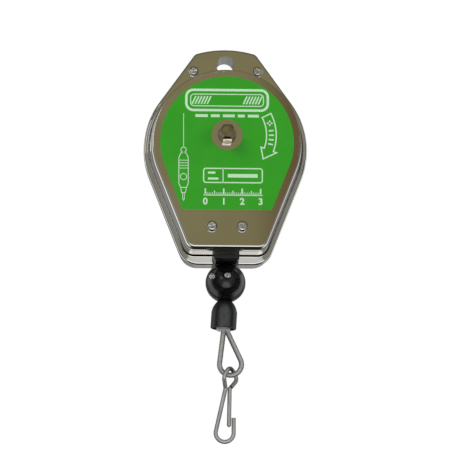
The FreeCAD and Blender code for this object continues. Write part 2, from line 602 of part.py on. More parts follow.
def mainspring():
    """Flat spiral strip from the arbor's slot to the drum's wall."""
    y0, y1 = DRUM_FRONT + HUB_LENGTH + 0.4, DRUM_REAR - 0.6
    halves = 2 * SPRING_COILS
    first = ARBOR_R + 1.4
    step = 2.0 * (SPRING_ROOM_R - 0.4 - first - SPRING_T) / halves
    inner = spiral(first, step, halves, y0)
    outer = spiral(first + SPRING_T, step, halves, y0)
    starts = [edges[0].valueAt(edges[0].FirstParameter) for edges in (inner, outer)]
    ends = [edges[-1].valueAt(edges[-1].LastParameter) for edges in (inner, outer)]
    loop = inner + [line(ends[0], ends[1])] + outer + [line(starts[0], starts[1])]
    strip = Part.Face(Part.Wire(Part.__sortEdges__(loop))).extrude(Vector(0, y1 - y0, 0))
    strip.rotate(SHAFT, Y_AXIS, -90)
    tongue = block(-SPRING_T / 2, SPRING_T / 2, y0, y1, SHAFT_Z + 3.0, SHAFT_Z + first + SPRING_T / 2)
    return strip.fuse(tongue).removeSplitter()


# ---------------------------------------------------------------- rope
def lead_edges():
    """The rope from the drum's left side to the guide, then straight down through it."""
    bend = Vector(0, 0, FLARE_Z + 3.4)
    below = SHAFT_Z - bend.z
    swing = math.asin(PITCH_R / below)
    leave = Vector(-PITCH_R * math.cos(swing), WIND_REAR, SHAFT_Z - PITCH_R * math.sin(swing))
    return route([leave, bend, Vector(0, 0, GUIDE_BOTTOM + 1.6)], [ROPE_BORE + FLARE_R])


def rope_lead():
    """The stretch of rope between the drum and the guide's mouth."""
    return swept(lead_edges(), ROPE_R)


def rope_winding():
    """The rope's turns on the drum, laid side by side, open where the last one leaves."""
    turns = [Part.makeTorus(PITCH_R, ROPE_R, Vector(0, WIND_FRONT + turn * ROPE_PITCH, SHAFT_Z), Y_AXIS)
             for turn in range(ROPE_TURNS)]
    away = swept(lead_edges(), ROPE_R + 0.15)
    turns[-1] = turns[-1].cut(away)
    return group(turns)


def rope_anchor():
    """Crimped ferrule on the rope's inner end, in the drum's front flange."""
    radius, half = 0.75, 3.0
    start = Vector(-half, DRUM_FRONT + 0.8, SHAFT_Z + 33.0)
    return Part.makeCylinder(radius, 2 * half, start, Vector(1, 0, 0))


def rope_tail():
    """The rope's outer end, from the guide's mouth through the ball into the cap."""
    top, above_cap = Vector(0, 0, GUIDE_BOTTOM + 1.5), Vector(0, 0, CAP_TOP + 3.1)
    lean = math.radians(CAP_LEAN)
    down = Vector(-math.sin(lean), 0, -math.cos(lean))
    knee = Vector(CAP_X, 0, CAP_TOP) + down * 2.0
    return swept(route([top, above_cap, knee, knee + down * 9.4], [20.0, 20.0]), ROPE_R)


def cap_frame(shape):
    """Lean a shape drawn on the rope's line as the cap leans."""
    shape.rotate(Vector(0, 0, CAP_TOP), Y_AXIS, CAP_LEAN)
    shape.translate(Vector(CAP_X, 0, 0))
    return shape


def rope_cap():
    """Bell-shaped cap over the rope's ferrule, open below."""
    nose, shoulder, wall = 2.2, CAP_TOP - 8.6, 1.3
    inside, roof, roof_r = CAP_R - wall, 4.6, 2.4
    bend = Vector(5.9, 0, CAP_TOP - 3.6)
    top, nose_edge = Vector(0, 0, CAP_TOP), Vector(nose, 0, CAP_TOP)
    wall_top, wall_foot, foot = (Vector(CAP_R, 0, shoulder), Vector(CAP_R, 0, CAP_MOUTH),
                                 Vector(0, 0, CAP_MOUTH))
    bell = turned_z([line(top, nose_edge), arc(nose_edge, bend, wall_top), line(wall_top, wall_foot),
                     line(wall_foot, foot), line(foot, top)])
    mouth = [e for e in bell.Edges if abs(e.BoundBox.ZMax - CAP_MOUTH) < 1e-6]
    bell = bell.makeFillet(0.5, mouth)
    bell = bell.cut(Part.makeCylinder(inside, shoulder - CAP_MOUTH, foot))
    bell = bell.cut(Part.makeCone(inside, roof_r, roof, Vector(0, 0, shoulder)))
    return cap_frame(bell.cut(Part.makeCylinder(ROPE_R + 0.2, 30, foot)))


def rope_ferrule():
    """Crimped sleeve that holds the rope's eye, seen in the cap's mouth."""
    height, corner, bore = 10.0, 0.7, ROPE_R + 0.05
    body = Part.makeCylinder(FERRULE_R, height, Vector(0, 0, CAP_MOUTH - FERRULE_DROP))
    edges = [e for e in body.Edges if e.BoundBox.ZLength < 1e-6]
    body = body.makeFillet(corner, edges)
    flat = block(-FERRULE_R, FERRULE_R, -FERRULE_HALF, FERRULE_HALF,
                 CAP_MOUTH - FERRULE_DROP, CAP_MOUTH + height)
    rope_hole = Part.makeCylinder(bore, height, Vector(0, 0, CAP_MOUTH + ROPE_SEAT))
    return cap_frame(body.common(flat).cut(rope_hole))


# ---------------------------------------------------------------- stop ball
def clamp_axes():
    """The clamp screws' direction and the direction across the two of them."""
    normal = Vector(-math.sin(BALL_TURN), -math.cos(BALL_TURN), 0)
    across = Vector(math.cos(BALL_TURN), -math.sin(BALL_TURN), 0)
    return normal, across


def stopper_screw_places():
    normal, across = clamp_axes()
    return [Vector(0, 0, BALL_Z + 2.5) + across * (side * 4.6) + normal * 9.2 for side in (-1, 1)]


def stopper_half(front):
    """Half of the ball, with the rope's bore and a hollow under it for the cap."""
    normal, _ = clamp_axes()
    ball = Part.makeSphere(BALL_R, Vector(0, 0, BALL_Z))
    ball = ball.cut(Part.makeCylinder(ROPE_R + 0.1, 30, Vector(0, 0, BALL_Z - 15)))
    hollow = Part.makeCone(6.3, 3.0, 4.6, Vector(0, 0, BALL_Z - BALL_R - 0.4))
    ball = ball.cut(hollow)
    side = 1 if front else -1
    keep = block(-20, 20, -20, 20, 0, 20)
    keep = placed(keep, Vector(0, 0, BALL_Z) + normal * (0.1 * side), normal * side)
    half = ball.common(keep)
    for seat in stopper_screw_places():
        half = half.cut(Part.makeCylinder(1.3, 30, seat - normal * 17, normal))
        if front:
            half = half.cut(Part.makeCylinder(2.35, 9, seat, normal))
        else:
            half = half.cut(Part.makeCylinder(2.35, 9, seat - normal * 17.0, normal * -1))
    return half


def stopper_screws():
    normal, _ = clamp_axes()
    screw = pan_screw(2.2, 1.5, 1.2, 16.8)
    return group([placed(screw, seat + normal * 0.02, normal, 30 + 25 * i)
                  for i, seat in enumerate(stopper_screw_places())])


# ---------------------------------------------------------------- thimble, rope eye and hook
def eye_frame():
    """The thimble's apex, and for each side the run's end, its direction and its outward normal."""
    up = Vector(-math.sin(THIMBLE_LEAN), 0, math.cos(THIMBLE_LEAN))
    apex = EYE_BEND + up * THIMBLE_LENGTH
    half = math.asin(EYE_R / THIMBLE_LENGTH)
    runs = []
    for side in (-1, 1):
        turn = FreeCAD.Rotation(Y_AXIS, math.degrees(side * (math.pi / 2 - half)))
        normal = turn.multVec(up)
        tangent = EYE_BEND + normal * EYE_R
        runs.append((tangent, (apex - tangent).normalize(), normal))
    return apex, up, runs


def channel_face(centre, normal):
    """Section of the thimble's channel: a thick C that opens along the outward normal."""
    open_half = math.radians(76)
    side = Y_AXIS

    def point(radius, angle):
        return centre + normal * (radius * math.cos(angle)) + side * (radius * math.sin(angle))

    a, b = open_half, 2 * math.pi - open_half
    edges = [arc(point(CHANNEL_R, a), point(CHANNEL_R, math.pi), point(CHANNEL_R, b)),
             line(point(CHANNEL_R, b), point(CHANNEL_IN, b)),
             arc(point(CHANNEL_IN, b), point(CHANNEL_IN, math.pi), point(CHANNEL_IN, a)),
             line(point(CHANNEL_IN, a), point(CHANNEL_R, a))]
    return Part.Face(Part.Wire(edges))


def eye_sweep(section, start_trim):
    """Two straight runs and the round end between them, for a given section builder."""
    apex, up, runs = eye_frame()
    (left, _, normal_left), (right, _, normal_right) = runs
    length = (apex - left).Length - start_trim
    legs = []
    for tangent, direction, normal in runs:
        leg = section(tangent, normal).extrude(direction * length)
        half_space = Part.makeBox(30, 30, 60, Vector(0.05, -15, -30))
        outward = normal - up * normal.dot(up)
        half_space.Placement = FreeCAD.Placement(apex, FreeCAD.Rotation(outward, Y_AXIS, up, "XZY"))
        legs.append(leg.common(half_space))
    sweep = math.degrees(2 * math.pi - normal_left.getAngle(normal_right))
    bend = section(right, normal_right)
    bend = bend.revolve(EYE_BEND, Y_AXIS, sweep)
    above = cap_frame(block(-20, 20, -20, 20, CAP_MOUTH - FERRULE_DROP, CAP_MOUTH + 30))
    return bend.fuse(legs[0]).fuse(legs[1]).removeSplitter().cut(above)


def thimble():
    return eye_sweep(channel_face, 2.0)


def rope_eye():
    """The rope bent round the thimble, its two legs running up into the ferrule."""
    def section(centre, normal):
        seat = centre + normal * EYE_SEAT
        return Part.Face(Part.Wire(Part.Edge(Part.Circle(seat, normal.cross(Y_AXIS), ROPE_R))))
    return eye_sweep(section, 0.2)


def hook_eye_corners():
    """Corners that the hook's eye is drawn through, in front of the thimble and round behind it."""
    sideways = Vector(math.cos(LOOP_TURN), math.sin(LOOP_TURN), 0) * LOOP_REACH
    front = Vector(-LOOP_SIDE.x, -LOOP_SIDE.y, LOOP_SIDE.z)
    return LOOP_TOP + front, LOOP_TOP - sideways, LOOP_TOP + sideways, LOOP_TOP + LOOP_SIDE


def snap_hook():
    """One bent wire: tip, bow, leg, pinched neck and the eye through the thimble."""
    outward = Vector(math.cos(HOOK_SPLAY), 0, -math.sin(HOOK_SPLAY)) * HOOK_BOW_R
    bow_right, bow_left = HOOK_BOW + Vector(HOOK_BOW_R, 0, 0), HOOK_BOW - outward
    low = HOOK_BOW + Vector(-math.sin(HOOK_SPLAY), 0, -math.cos(HOOK_SPLAY)) * HOOK_BOW_R
    tip = bow_right + Vector(0, 0, HOOK_TIP)
    corners = hook_eye_corners()
    front, left, right, _ = corners
    crown = LOOP_REACH * math.tan((right - left).getAngle(front - left) / 2)
    edges = [line(tip, bow_right), arc(bow_right, low, bow_left)]
    edges += route([bow_left, NECK_LEFT, *corners, NECK_RIGHT],
                   [NECK_ROUND, LOOP_ROUND, crown, crown, LOOP_ROUND])
    return swept(edges, WIRE_R)


def gate_pivot():
    run = (NECK_RIGHT - hook_eye_corners()[-1]).normalize()
    return NECK_RIGHT + run * GATE_GAP


def hook_gate():
    """The wire's sprung end, which closes against the inside of the tip."""
    pivot = gate_pivot()
    gate = swept([line(pivot, GATE_END)], WIRE_R)
    return gate.fuse(Part.makeSphere(WIRE_R, pivot)).fuse(Part.makeSphere(WIRE_R, GATE_END))


NODES = {
    "front_cover": front_cover, "rear_case": rear_case, "face_label": face_label,
    "hanger_tube": hanger_tube, "tab_spacers": lambda: spacers(False),
    "lower_spacers": lambda: spacers(True), "tab_screws": lambda: front_screws(False),
    "lower_screws": lambda: front_screws(True), "rear_screws": rear_screws,
    "rope_guide": rope_guide, "guide_insert": guide_insert,
    "front_bearing": front_bearing, "rear_bearing": rear_bearing,
    "arbor": arbor, "arbor_clip": arbor_clip, "ratchet_wheel": ratchet_wheel,
    "pawl": pawl, "pawl_pins": pawl_pins, "pawl_spring": pawl_spring,
    "drum": drum, "spring_cover": spring_cover, "spring_cover_screws": cover_screws,
    "drum_bush_front": lambda: drum_bush(True), "drum_bush_rear": lambda: drum_bush(False),
    "mainspring": mainspring, "rope_winding": rope_winding, "rope_anchor": rope_anchor,
    "rope_lead": rope_lead, "rope_tail": rope_tail, "rope_cap": rope_cap,
    "rope_ferrule": rope_ferrule, "stopper_ball_front": lambda: stopper_half(True),
    "stopper_ball_rear": lambda: stopper_half(False), "stopper_screws": stopper_screws,
    "thimble": thimble, "rope_eye": rope_eye, "snap_hook": snap_hook, "hook_gate": hook_gate,
}


def main():
    os.makedirs("parts", exist_ok=True)
    for name, build in NODES.items():
        shape = build()
        if not shape.isValid():
            print("invalid shape:", name)
        shape.exportStep(f"parts/{name}.step")
        print(f"{name}: {len(shape.Solids)} solid(s), {shape.Volume:.1f} mm3")


main()
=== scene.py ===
"""Tool balancer: a chromed steel case with a sprung drum inside and a wire rope below it.
Metres, X right, Y to the rear, Z up, with the hanging bore at the origin."""
import json
import math
import bmesh
import bpy
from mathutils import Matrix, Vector

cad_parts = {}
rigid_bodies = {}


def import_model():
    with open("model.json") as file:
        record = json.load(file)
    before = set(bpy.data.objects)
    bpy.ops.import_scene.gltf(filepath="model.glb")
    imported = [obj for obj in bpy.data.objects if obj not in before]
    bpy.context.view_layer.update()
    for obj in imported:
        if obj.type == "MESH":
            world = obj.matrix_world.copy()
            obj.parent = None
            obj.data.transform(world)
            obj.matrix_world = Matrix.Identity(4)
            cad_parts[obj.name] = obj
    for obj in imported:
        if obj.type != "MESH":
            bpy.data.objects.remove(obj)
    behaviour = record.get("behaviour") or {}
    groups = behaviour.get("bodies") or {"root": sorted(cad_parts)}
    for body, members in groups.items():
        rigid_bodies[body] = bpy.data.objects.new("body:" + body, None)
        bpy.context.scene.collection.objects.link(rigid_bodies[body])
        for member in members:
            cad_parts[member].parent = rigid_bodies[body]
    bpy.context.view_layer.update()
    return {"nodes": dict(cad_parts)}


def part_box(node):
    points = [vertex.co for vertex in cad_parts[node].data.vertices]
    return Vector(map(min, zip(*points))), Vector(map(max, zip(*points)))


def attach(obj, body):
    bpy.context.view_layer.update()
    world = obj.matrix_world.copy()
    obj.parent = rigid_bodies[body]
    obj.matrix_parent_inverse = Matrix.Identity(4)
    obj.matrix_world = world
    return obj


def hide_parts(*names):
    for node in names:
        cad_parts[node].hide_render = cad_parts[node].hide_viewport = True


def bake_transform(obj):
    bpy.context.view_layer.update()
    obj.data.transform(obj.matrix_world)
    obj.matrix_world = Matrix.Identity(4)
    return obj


for leftover in list(bpy.data.objects):
    bpy.data.objects.remove(leftover)
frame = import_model()
scene = bpy.context.scene
scene.view_settings.view_transform = "Standard"

# ------------------------------------------------------------------ camera
# A long lens, a little below the case and to its left, looking slightly up at it, so that
# case, ball and hook stand upright and almost without perspective.
eye_level, eye_side, eye_distance = math.radians(-11.5), math.radians(-2.6), 2.4
look_at = Vector((-0.0003, 0.0, -0.0985))
towards_camera = Vector((math.sin(eye_side) * math.cos(eye_level),
                         -math.cos(eye_side) * math.cos(eye_level), math.sin(eye_level)))
camera = bpy.data.objects.new("camera", bpy.data.cameras.new("camera"))
camera.data.lens = 320.0
camera.data.sensor_width = 36.0
camera.location = look_at + towards_camera * eye_distance
camera.rotation_mode = "QUATERNION"
camera.rotation_quaternion = (-towards_camera).to_track_quat("-Z", "Y")
scene.collection.objects.link(camera)
scene.camera = camera

# ------------------------------------------------------------------ studio
# A pale floor far enough below for the whole rope, four soft lamps and a white background.
# Glossy pieces mirror neither the floor nor that white but a surround of their own: an
# olive-brown screen ahead of the case, and dark and bright bands round it.
floor_half, floor_height = 6.0, -1.62
floor_mesh = bpy.data.meshes.new("studio_floor")
floor_mesh.from_pydata([(x * floor_half, y * floor_half, floor_height)
                        for x, y in ((-1, -1), (1, -1), (1, 1), (-1, 1))], [], [(0, 1, 2, 3)])
studio_floor = bpy.data.objects.new("studio_floor", floor_mesh)
scene.collection.objects.link(studio_floor)
studio_floor.visible_glossy = False


def finish(name, colour, roughness, metallic=0.0):
    """A new finish: its material, its node tree, its shader and its object coordinates."""
    made = bpy.data.materials.new(name)
    made.use_nodes = True
    tree = made.node_tree
    shader = tree.nodes["Principled BSDF"]
    shader.inputs["Base Color"].default_value = (*colour, 1.0)
    shader.inputs["Roughness"].default_value = roughness
    shader.inputs["Metallic"].default_value = metallic
    place = tree.nodes.new("ShaderNodeTexCoord")
    return made, tree, shader, place.outputs["Object"]


def blotches(tree, coords, stretch, scale, detail=4.0, roughness=0.5):
    """Noise in the object's own metres, drawn out along some axes."""
    mapping = tree.nodes.new("ShaderNodeMapping")
    mapping.inputs["Scale"].default_value = stretch
    noise = tree.nodes.new("ShaderNodeTexNoise")
    noise.inputs["Scale"].default_value = scale
    noise.inputs["Detail"].default_value = detail
    noise.inputs["Roughness"].default_value = roughness
    tree.links.new(coords, mapping.inputs["Vector"])
    tree.links.new(mapping.outputs["Vector"], noise.inputs["Vector"])
    return noise.outputs["Fac"]


def ramp(tree, value, stops):
    """Colours or greys along a value, as (position, colour) stops."""
    node = tree.nodes.new("ShaderNodeValToRGB")
    while len(node.color_ramp.elements) < len(stops):
        node.color_ramp.elements.new(0.5)
    for element, (position, colour) in zip(node.color_ramp.elements, stops):
        element.position = position
        grey = isinstance(colour, float)
        element.color = (colour, colour, colour, 1.0) if grey else (*colour, 1.0)
    tree.links.new(value, node.inputs["Fac"])
    return node.outputs["Color"]


def relief(tree, shader, heights):
    """Chains bumps of (height, depth in metres, strength) into the shader's normal."""
    last = None
    for height, depth, strength in heights:
        bump = tree.nodes.new("ShaderNodeBump")
        bump.inputs["Distance"].default_value = depth
        bump.inputs["Strength"].default_value = strength
        tree.links.new(height, bump.inputs["Height"])
        if last:
            tree.links.new(last, bump.inputs["Normal"])
        last = bump.outputs["Normal"]
    tree.links.new(last, shader.inputs["Normal"])


def arithmetic(tree, operation, first, second=None, third=None):
    """One sum on values or fixed numbers."""
    node = tree.nodes.new("ShaderNodeMath")
    node.operation = operation
    for socket, value in zip(node.inputs, (first, second, third)):
        if value is None:
            continue
        if isinstance(value, (int, float)):
            socket.default_value = value
        else:
            tree.links.new(value, socket)
    return node.outputs["Value"]


floor_paint, tree, shader, coords = finish("floor_paint", (0.82, 0.82, 0.81), 0.7)
mottle = blotches(tree, coords, (1, 1, 1), 3.0)
tree.links.new(ramp(tree, mottle, [(0.3, (0.80, 0.80, 0.79)), (0.7, (0.84, 0.84, 0.83))]),
               shader.inputs["Base Color"])
relief(tree, shader, [(blotches(tree, coords, (1, 1, 1), 60.0), 0.001, 0.2)])
floor_mesh.materials.append(floor_paint)

world = bpy.data.worlds.new("studio_surround")
scene.world = world
world.use_nodes = True
tree = world.node_tree
tree.nodes.clear()
direction = tree.nodes.new("ShaderNodeTexCoord").outputs["Generated"]
ahead_axis, least_sideways, waver = Vector((0.044, -0.979, 0.199)), 0.0004, 0.3
above_rise, below_rise = (0.40, 0.72), (-0.66, -0.93)
facing = tree.nodes.new("ShaderNodeVectorMath")
facing.operation = "DOT_PRODUCT"
facing.inputs[1].default_value = ahead_axis
tree.links.new(direction, facing.inputs[0])
axis_share = facing.outputs["Value"]
ahead = arithmetic(tree, "MULTIPLY_ADD", axis_share, 0.5, 0.5)
height = tree.nodes.new("ShaderNodeSeparateXYZ")
tree.links.new(direction, height.inputs["Vector"])
past_axis = arithmetic(tree, "SUBTRACT", 1.0, arithmetic(tree, "MULTIPLY", axis_share, axis_share))
sideways = arithmetic(tree, "SQRT", arithmetic(tree, "MAXIMUM", past_axis, least_sideways))
rise = arithmetic(tree, "DIVIDE", arithmetic(
    tree, "MULTIPLY_ADD", axis_share, -ahead_axis.z, height.outputs["Z"]), sideways)
wander = blotches(tree, direction, (1, 1, 1), 2.2, 2.0)
rise = arithmetic(tree, "ADD", rise, arithmetic(tree, "MULTIPLY_ADD", wander, waver, -waver / 2))
screen_olive, screen_edge = (0.238, 0.214, 0.114), (0.22, 0.20, 0.12)
beside = ramp(tree, ahead, [
    (0.00, 0.30), (0.014, 0.32), (0.03, 0.45), (0.05, 0.30), (0.09, 0.16), (0.18, 0.24),
    (0.28, 1.00), (0.46, 1.00), (0.53, 0.06), (0.80, 0.06), (0.88, 0.28), (0.95, 0.36),
    (0.985, (0.25, 0.24, 0.18)), (0.993, screen_edge), (0.997, screen_olive)])
below = ramp(tree, ahead, [
    (0.00, 0.34), (0.02, 0.40), (0.06, 0.90), (0.10, 0.40), (0.14, 0.02), (0.80, 0.01),
    (0.86, 1.20), (0.95, 1.40), (0.968, 1.10), (0.982, 0.66), (0.990, 0.60),
    (0.995, screen_edge), (0.998, screen_olive)])
above = ramp(tree, ahead, [
    (0.00, 0.20), (0.20, 0.20), (0.34, 0.12), (0.75, (0.12, 0.11, 0.06)),
    (0.90, (0.15, 0.135, 0.075)), (0.985, (0.20, 0.18, 0.10)), (0.997, screen_olive)])


def share(tree, value, low, high):
    """How far a value has come from one limit to another, smoothly."""
    node = tree.nodes.new("ShaderNodeMapRange")
    node.interpolation_type = "SMOOTHSTEP"
    node.inputs["From Min"].default_value = low
    node.inputs["From Max"].default_value = high
    tree.links.new(value, node.inputs["Value"])
    return node.outputs["Result"]


def mixed(tree, part, first, second):
    """Colours mixed by a share from 0 to 1."""
    node = tree.nodes.new("ShaderNodeMix")
    node.data_type = "RGBA"
    tree.links.new(part, node.inputs["Factor"])
    for socket, colour in zip([s for s in node.inputs if s.type == "RGBA"], (first, second)):
        if isinstance(colour, tuple):
            socket.default_value = (*colour, 1.0)
        else:
            tree.links.new(colour, socket)
    return [s for s in node.outputs if s.type == "RGBA"][0]


surround = mixed(tree, share(tree, rise, *above_rise), beside, above)
surround = mixed(tree, share(tree, rise, *below_rise), surround, below)
lamps_only = tree.nodes.new("ShaderNodeBackground")
lamps_only.inputs["Color"].default_value = (0.86, 0.87, 0.88, 1.0)
lamps_only.inputs["Strength"].default_value = 0.55
mirrored = tree.nodes.new("ShaderNodeBackground")
tree.links.new(surround, mirrored.inputs["Color"])
seen = tree.nodes.new("ShaderNodeBackground")
seen.inputs["Color"].default_value = (1.0, 1.0, 1.0, 1.0)
rays = tree.nodes.new("ShaderNodeLightPath")
with_mirror = tree.nodes.new("ShaderNodeMixShader")
tree.links.new(rays.outputs["Is Glossy Ray"], with_mirror.inputs["Fac"])
tree.links.new(lamps_only.outputs[0], with_mirror.inputs[1])
tree.links.new(mirrored.outputs[0], with_mirror.inputs[2])
with_view = tree.nodes.new("ShaderNodeMixShader")
see_through = arithmetic(tree, "MAXIMUM", rays.outputs["Is Camera Ray"],
                         rays.outputs["Is Transmission Ray"])
tree.links.new(see_through, with_view.inputs["Fac"])
tree.links.new(with_mirror.outputs[0], with_view.inputs[1])
tree.links.new(seen.outputs[0], with_view.inputs[2])
tree.links.new(with_view.outputs[0], tree.nodes.new("ShaderNodeOutputWorld").inputs["Surface"])


def softbox(name, place, side, watts, mirrored_too=False):
    """A square soft lamp aimed at the middle of the view."""
    data = bpy.data.lights.new(name, "AREA")
    data.size = side
    data.energy = watts
    lamp = bpy.data.objects.new(name, data)
    lamp.location = place
    lamp.rotation_mode = "QUATERNION"
    lamp.rotation_quaternion = (Vector(place) - look_at).to_track_quat("Z", "Y")
    lamp.visible_glossy = mirrored_too
    scene.collection.objects.link(lamp)


softbox("lamp_upper_left", (-0.85, -0.80, 0.75), 0.6, 6.5)
softbox("lamp_front", (-0.56, -1.19, 0.38), 0.36, 0.34, True)
softbox("lamp_right", (1.05, -0.65, 0.15), 0.5, 4.0)
softbox("lamp_rear", (0.35, 1.10, 0.70), 0.7, 7.0)

# ------------------------------------------------------------------ case
# Front cover and rear case, both drawn from steel sheet, polished and bright chromed. The
# cover's rolled skirt laps the rear case and the two are pulled together over sleeves.
chrome_pale, chrome_warm = (0.80, 0.79, 0.76), (0.74, 0.72, 0.67)
reflection_brown, seam_painted_shade = (0.50, 0.40, 0.33), (0.02, 0.02, 0.02)
brown_reflection_span, cloud_shift, flat_face = (0.012, 0.048), 0.012, (-0.0198, -0.0208)
seam_start, seam_end = (-0.0034, -0.0024), (-0.00002, -0.00014)
lower_end, upper_share = (-0.104, -0.116), 0.2
case_middle, side_across, side_down = (0.0, 0.0, -0.052), 0.93, 0.37
arc_offset, bottom_offset, corner_round, tapered = 0.0201, 0.0539, 0.004, (0.058, 0.080)
flange_front, flange_rear, under_tab = (-0.0150, -0.0100), (0.0060, 0.0045), (0.012, 0.034)
wall_foot, flange_fall = 0.0671, 0.13
shoulder_start, shoulder_curve = -0.0125, -62.5


def dress(made, *nodes):
    """Gives a finish to construction pieces."""
    for node in nodes:
        for slot in frame["nodes"][node].material_slots:
            slot.material = made


case_chrome, tree, shader, coords = finish("case_chrome", chrome_pale, 0.07, 1.0)
case_place = tree.nodes.new("ShaderNodeSeparateXYZ")
tree.links.new(coords, case_place.inputs["Vector"])
case_x, case_y, case_z = (case_place.outputs[axis] for axis in "XYZ")
cloud = blotches(tree, coords, (1, 1, 1), 32.0, 3.0)
tinted = ramp(tree, cloud, [(0.35, chrome_warm), (0.62, chrome_pale)])
# Painted reflection: the right part of the flat face is tinted brown in the chrome's colour,
# standing in for the brown surround it mirrors. The cloud makes that edge waver.
clouded_x = arithmetic(tree, "MULTIPLY_ADD", cloud, cloud_shift, case_x)
painted_brown_reflection = arithmetic(tree, "MULTIPLY", share(tree, clouded_x, *brown_reflection_span),
                     share(tree, case_y, *flat_face))
tinted = mixed(tree, painted_brown_reflection, tinted, reflection_brown)
# Painted shade: a near-black band in the colour where the cover's skirt meets the rear case. It is
# full along the bottom and at a fifth of its strength above, and stands in for the shadow in the
# seam.
painted_seam_shade = arithmetic(tree, "MULTIPLY", share(tree, case_y, *seam_start),
                     share(tree, case_y, *seam_end))
painted_seam_shade = arithmetic(tree, "MULTIPLY", painted_seam_shade, arithmetic(
    tree, "MULTIPLY_ADD", share(tree, case_z, *lower_end), 1.0 - upper_share, upper_share))
tree.links.new(mixed(tree, painted_seam_shade, tinted, seam_painted_shade), shader.inputs["Base Color"])
smudge = blotches(tree, coords, (1.0, 1.0, 0.6), 70.0, 6.0, 0.62)
buffing = blotches(tree, coords, (1.0, 1.0, 0.05), 2600.0, 3.0)
haze = ramp(tree, smudge, [(0.38, 0.015), (0.55, 0.03), (0.72, 0.075)])
tree.links.new(arithmetic(tree, "MULTIPLY_ADD", buffing, 0.03, haze), shader.inputs["Roughness"])
pressing = blotches(tree, coords, (1, 1, 1), 55.0, 2.0)
# How far a place lies outward from the case's middle: round the arc above, square to the
# slanting sides and to the bottom below.
flat_place = tree.nodes.new("ShaderNodeCombineXYZ")
tree.links.new(case_x, flat_place.inputs["X"])
tree.links.new(case_z, flat_place.inputs["Z"])
from_middle = tree.nodes.new("ShaderNodeVectorMath")
from_middle.operation = "DISTANCE"
tree.links.new(flat_place.outputs["Vector"], from_middle.inputs[0])
from_middle.inputs[1].default_value = case_middle
depth_below = arithmetic(tree, "MULTIPLY", case_z, -1.0)
past_side = arithmetic(tree, "MULTIPLY_ADD", depth_below, side_down, arithmetic(
    tree, "MULTIPLY", arithmetic(tree, "ABSOLUTE", case_x), side_across))
past_bottom = arithmetic(tree, "SUBTRACT", depth_below, bottom_offset)
past_edge = arithmetic(tree, "SMOOTH_MAX", past_side, past_bottom, corner_round)
past_arc = arithmetic(tree, "ADD", from_middle.outputs["Value"], arc_offset)
outward = arithmetic(tree, "ADD", past_arc, arithmetic(
    tree, "MULTIPLY", share(tree, depth_below, *tapered),
    arithmetic(tree, "SUBTRACT", past_edge, past_arc)))
# The flange falls back a little towards its rim, and the dome's wall rolls over softly
# into its face.
on_flange = arithmetic(tree, "MULTIPLY", share(tree, case_y, *flange_front),
                       share(tree, depth_below, *under_tab))
on_flange = arithmetic(tree, "MULTIPLY", on_flange, share(tree, case_y, *flange_rear))
falling_back = arithmetic(tree, "MULTIPLY", arithmetic(tree, "SUBTRACT", wall_foot, outward),
                          on_flange)
shoulder = arithmetic(tree, "MAXIMUM", arithmetic(tree, "SUBTRACT", shoulder_start, case_y), 0.0)
rolled_over = arithmetic(tree, "MULTIPLY", arithmetic(tree, "MULTIPLY", shoulder, shoulder),
                         shoulder_curve)
relief(tree, shader, [(pressing, 0.00004, 0.5), (buffing, 0.000004, 0.15),
                      (falling_back, flange_fall, 1.0), (rolled_over, 1.0, 1.0)])
dress(case_chrome, "front_cover", "rear_case")

# ------------------------------------------------------------------ sleeves between the sheets
# Hanging tube and spacer sleeves, turned from free-cutting steel and nickel plated. They
# stand between cover and rear case, so that the screws don't crush the sheet.
sleeve_nickel, tree, shader, coords = finish("sleeve_nickel", (0.62, 0.61, 0.58), 0.22, 1.0)
turned = blotches(tree, coords, (0.4, 60.0, 0.4), 90.0, 4.0)
tree.links.new(ramp(tree, turned, [(0.3, (0.55, 0.54, 0.51)), (0.7, (0.70, 0.69, 0.66))]),
               shader.inputs["Base Color"])
tree.links.new(ramp(tree, blotches(tree, coords, (1, 1, 1), 400.0), [(0.3, 0.16), (0.7, 0.34)]),
               shader.inputs["Roughness"])
relief(tree, shader, [(turned, 0.00002, 0.5)])
dress(sleeve_nickel, "hanger_tube", "tab_spacers", "lower_spacers")

# ------------------------------------------------------------------ case screws
# Cross-recessed pan-head screws, zinc plated, at the tab's two corners and above the rope
# guide; the rear ones enter the same sleeves from behind.
zinc_bright, zinc_grey = (0.86, 0.87, 0.87), (0.58, 0.59, 0.60)
screw_zinc, tree, shader, coords = finish("screw_zinc", zinc_bright, 0.2, 1.0)
spangle = blotches(tree, coords, (1, 1, 1), 650.0, 5.0)
tree.links.new(ramp(tree, spangle, [(0.32, zinc_grey), (0.6, zinc_bright)]),
               shader.inputs["Base Color"])
tree.links.new(ramp(tree, blotches(tree, coords, (1, 1, 1), 1500.0), [(0.3, 0.12), (0.75, 0.36)]),
               shader.inputs["Roughness"])
relief(tree, shader, [(spangle, 0.00003, 0.5)])
dress(screw_zinc, "tab_screws", "lower_screws", "rear_screws")

# ------------------------------------------------------------------ face label
# Aluminium foil label, printed green and varnished, stuck on the cover's flat face. A round
# hole in it leaves the front bearing's place and the arbor free.
label_green, label_shade = (0.034, 0.430, 0.012), (0.030, 0.395, 0.011)
label_ink, tree, shader, coords = finish("label_green", label_green, 0.34)
shader.inputs["Coat Weight"].default_value = 0.12
shader.inputs["Coat Roughness"].default_value = 0.15
tree.links.new(ramp(tree, blotches(tree, coords, (1, 1, 1), 45.0, 5.0),
                    [(0.35, label_shade), (0.65, label_green)]), shader.inputs["Base Color"])
dots = tree.nodes.new("ShaderNodeTexVoronoi")
dots.inputs["Scale"].default_value = 2600.0
tree.links.new(coords, dots.inputs["Vector"])
tree.links.new(ramp(tree, blotches(tree, coords, (1, 1, 0.4), 160.0, 6.0),
                    [(0.35, 0.28), (0.7, 0.44)]), shader.inputs["Roughness"])
relief(tree, shader, [(dots.outputs["Distance"], 0.00001, 0.25)])
dress(label_ink, "face_label")

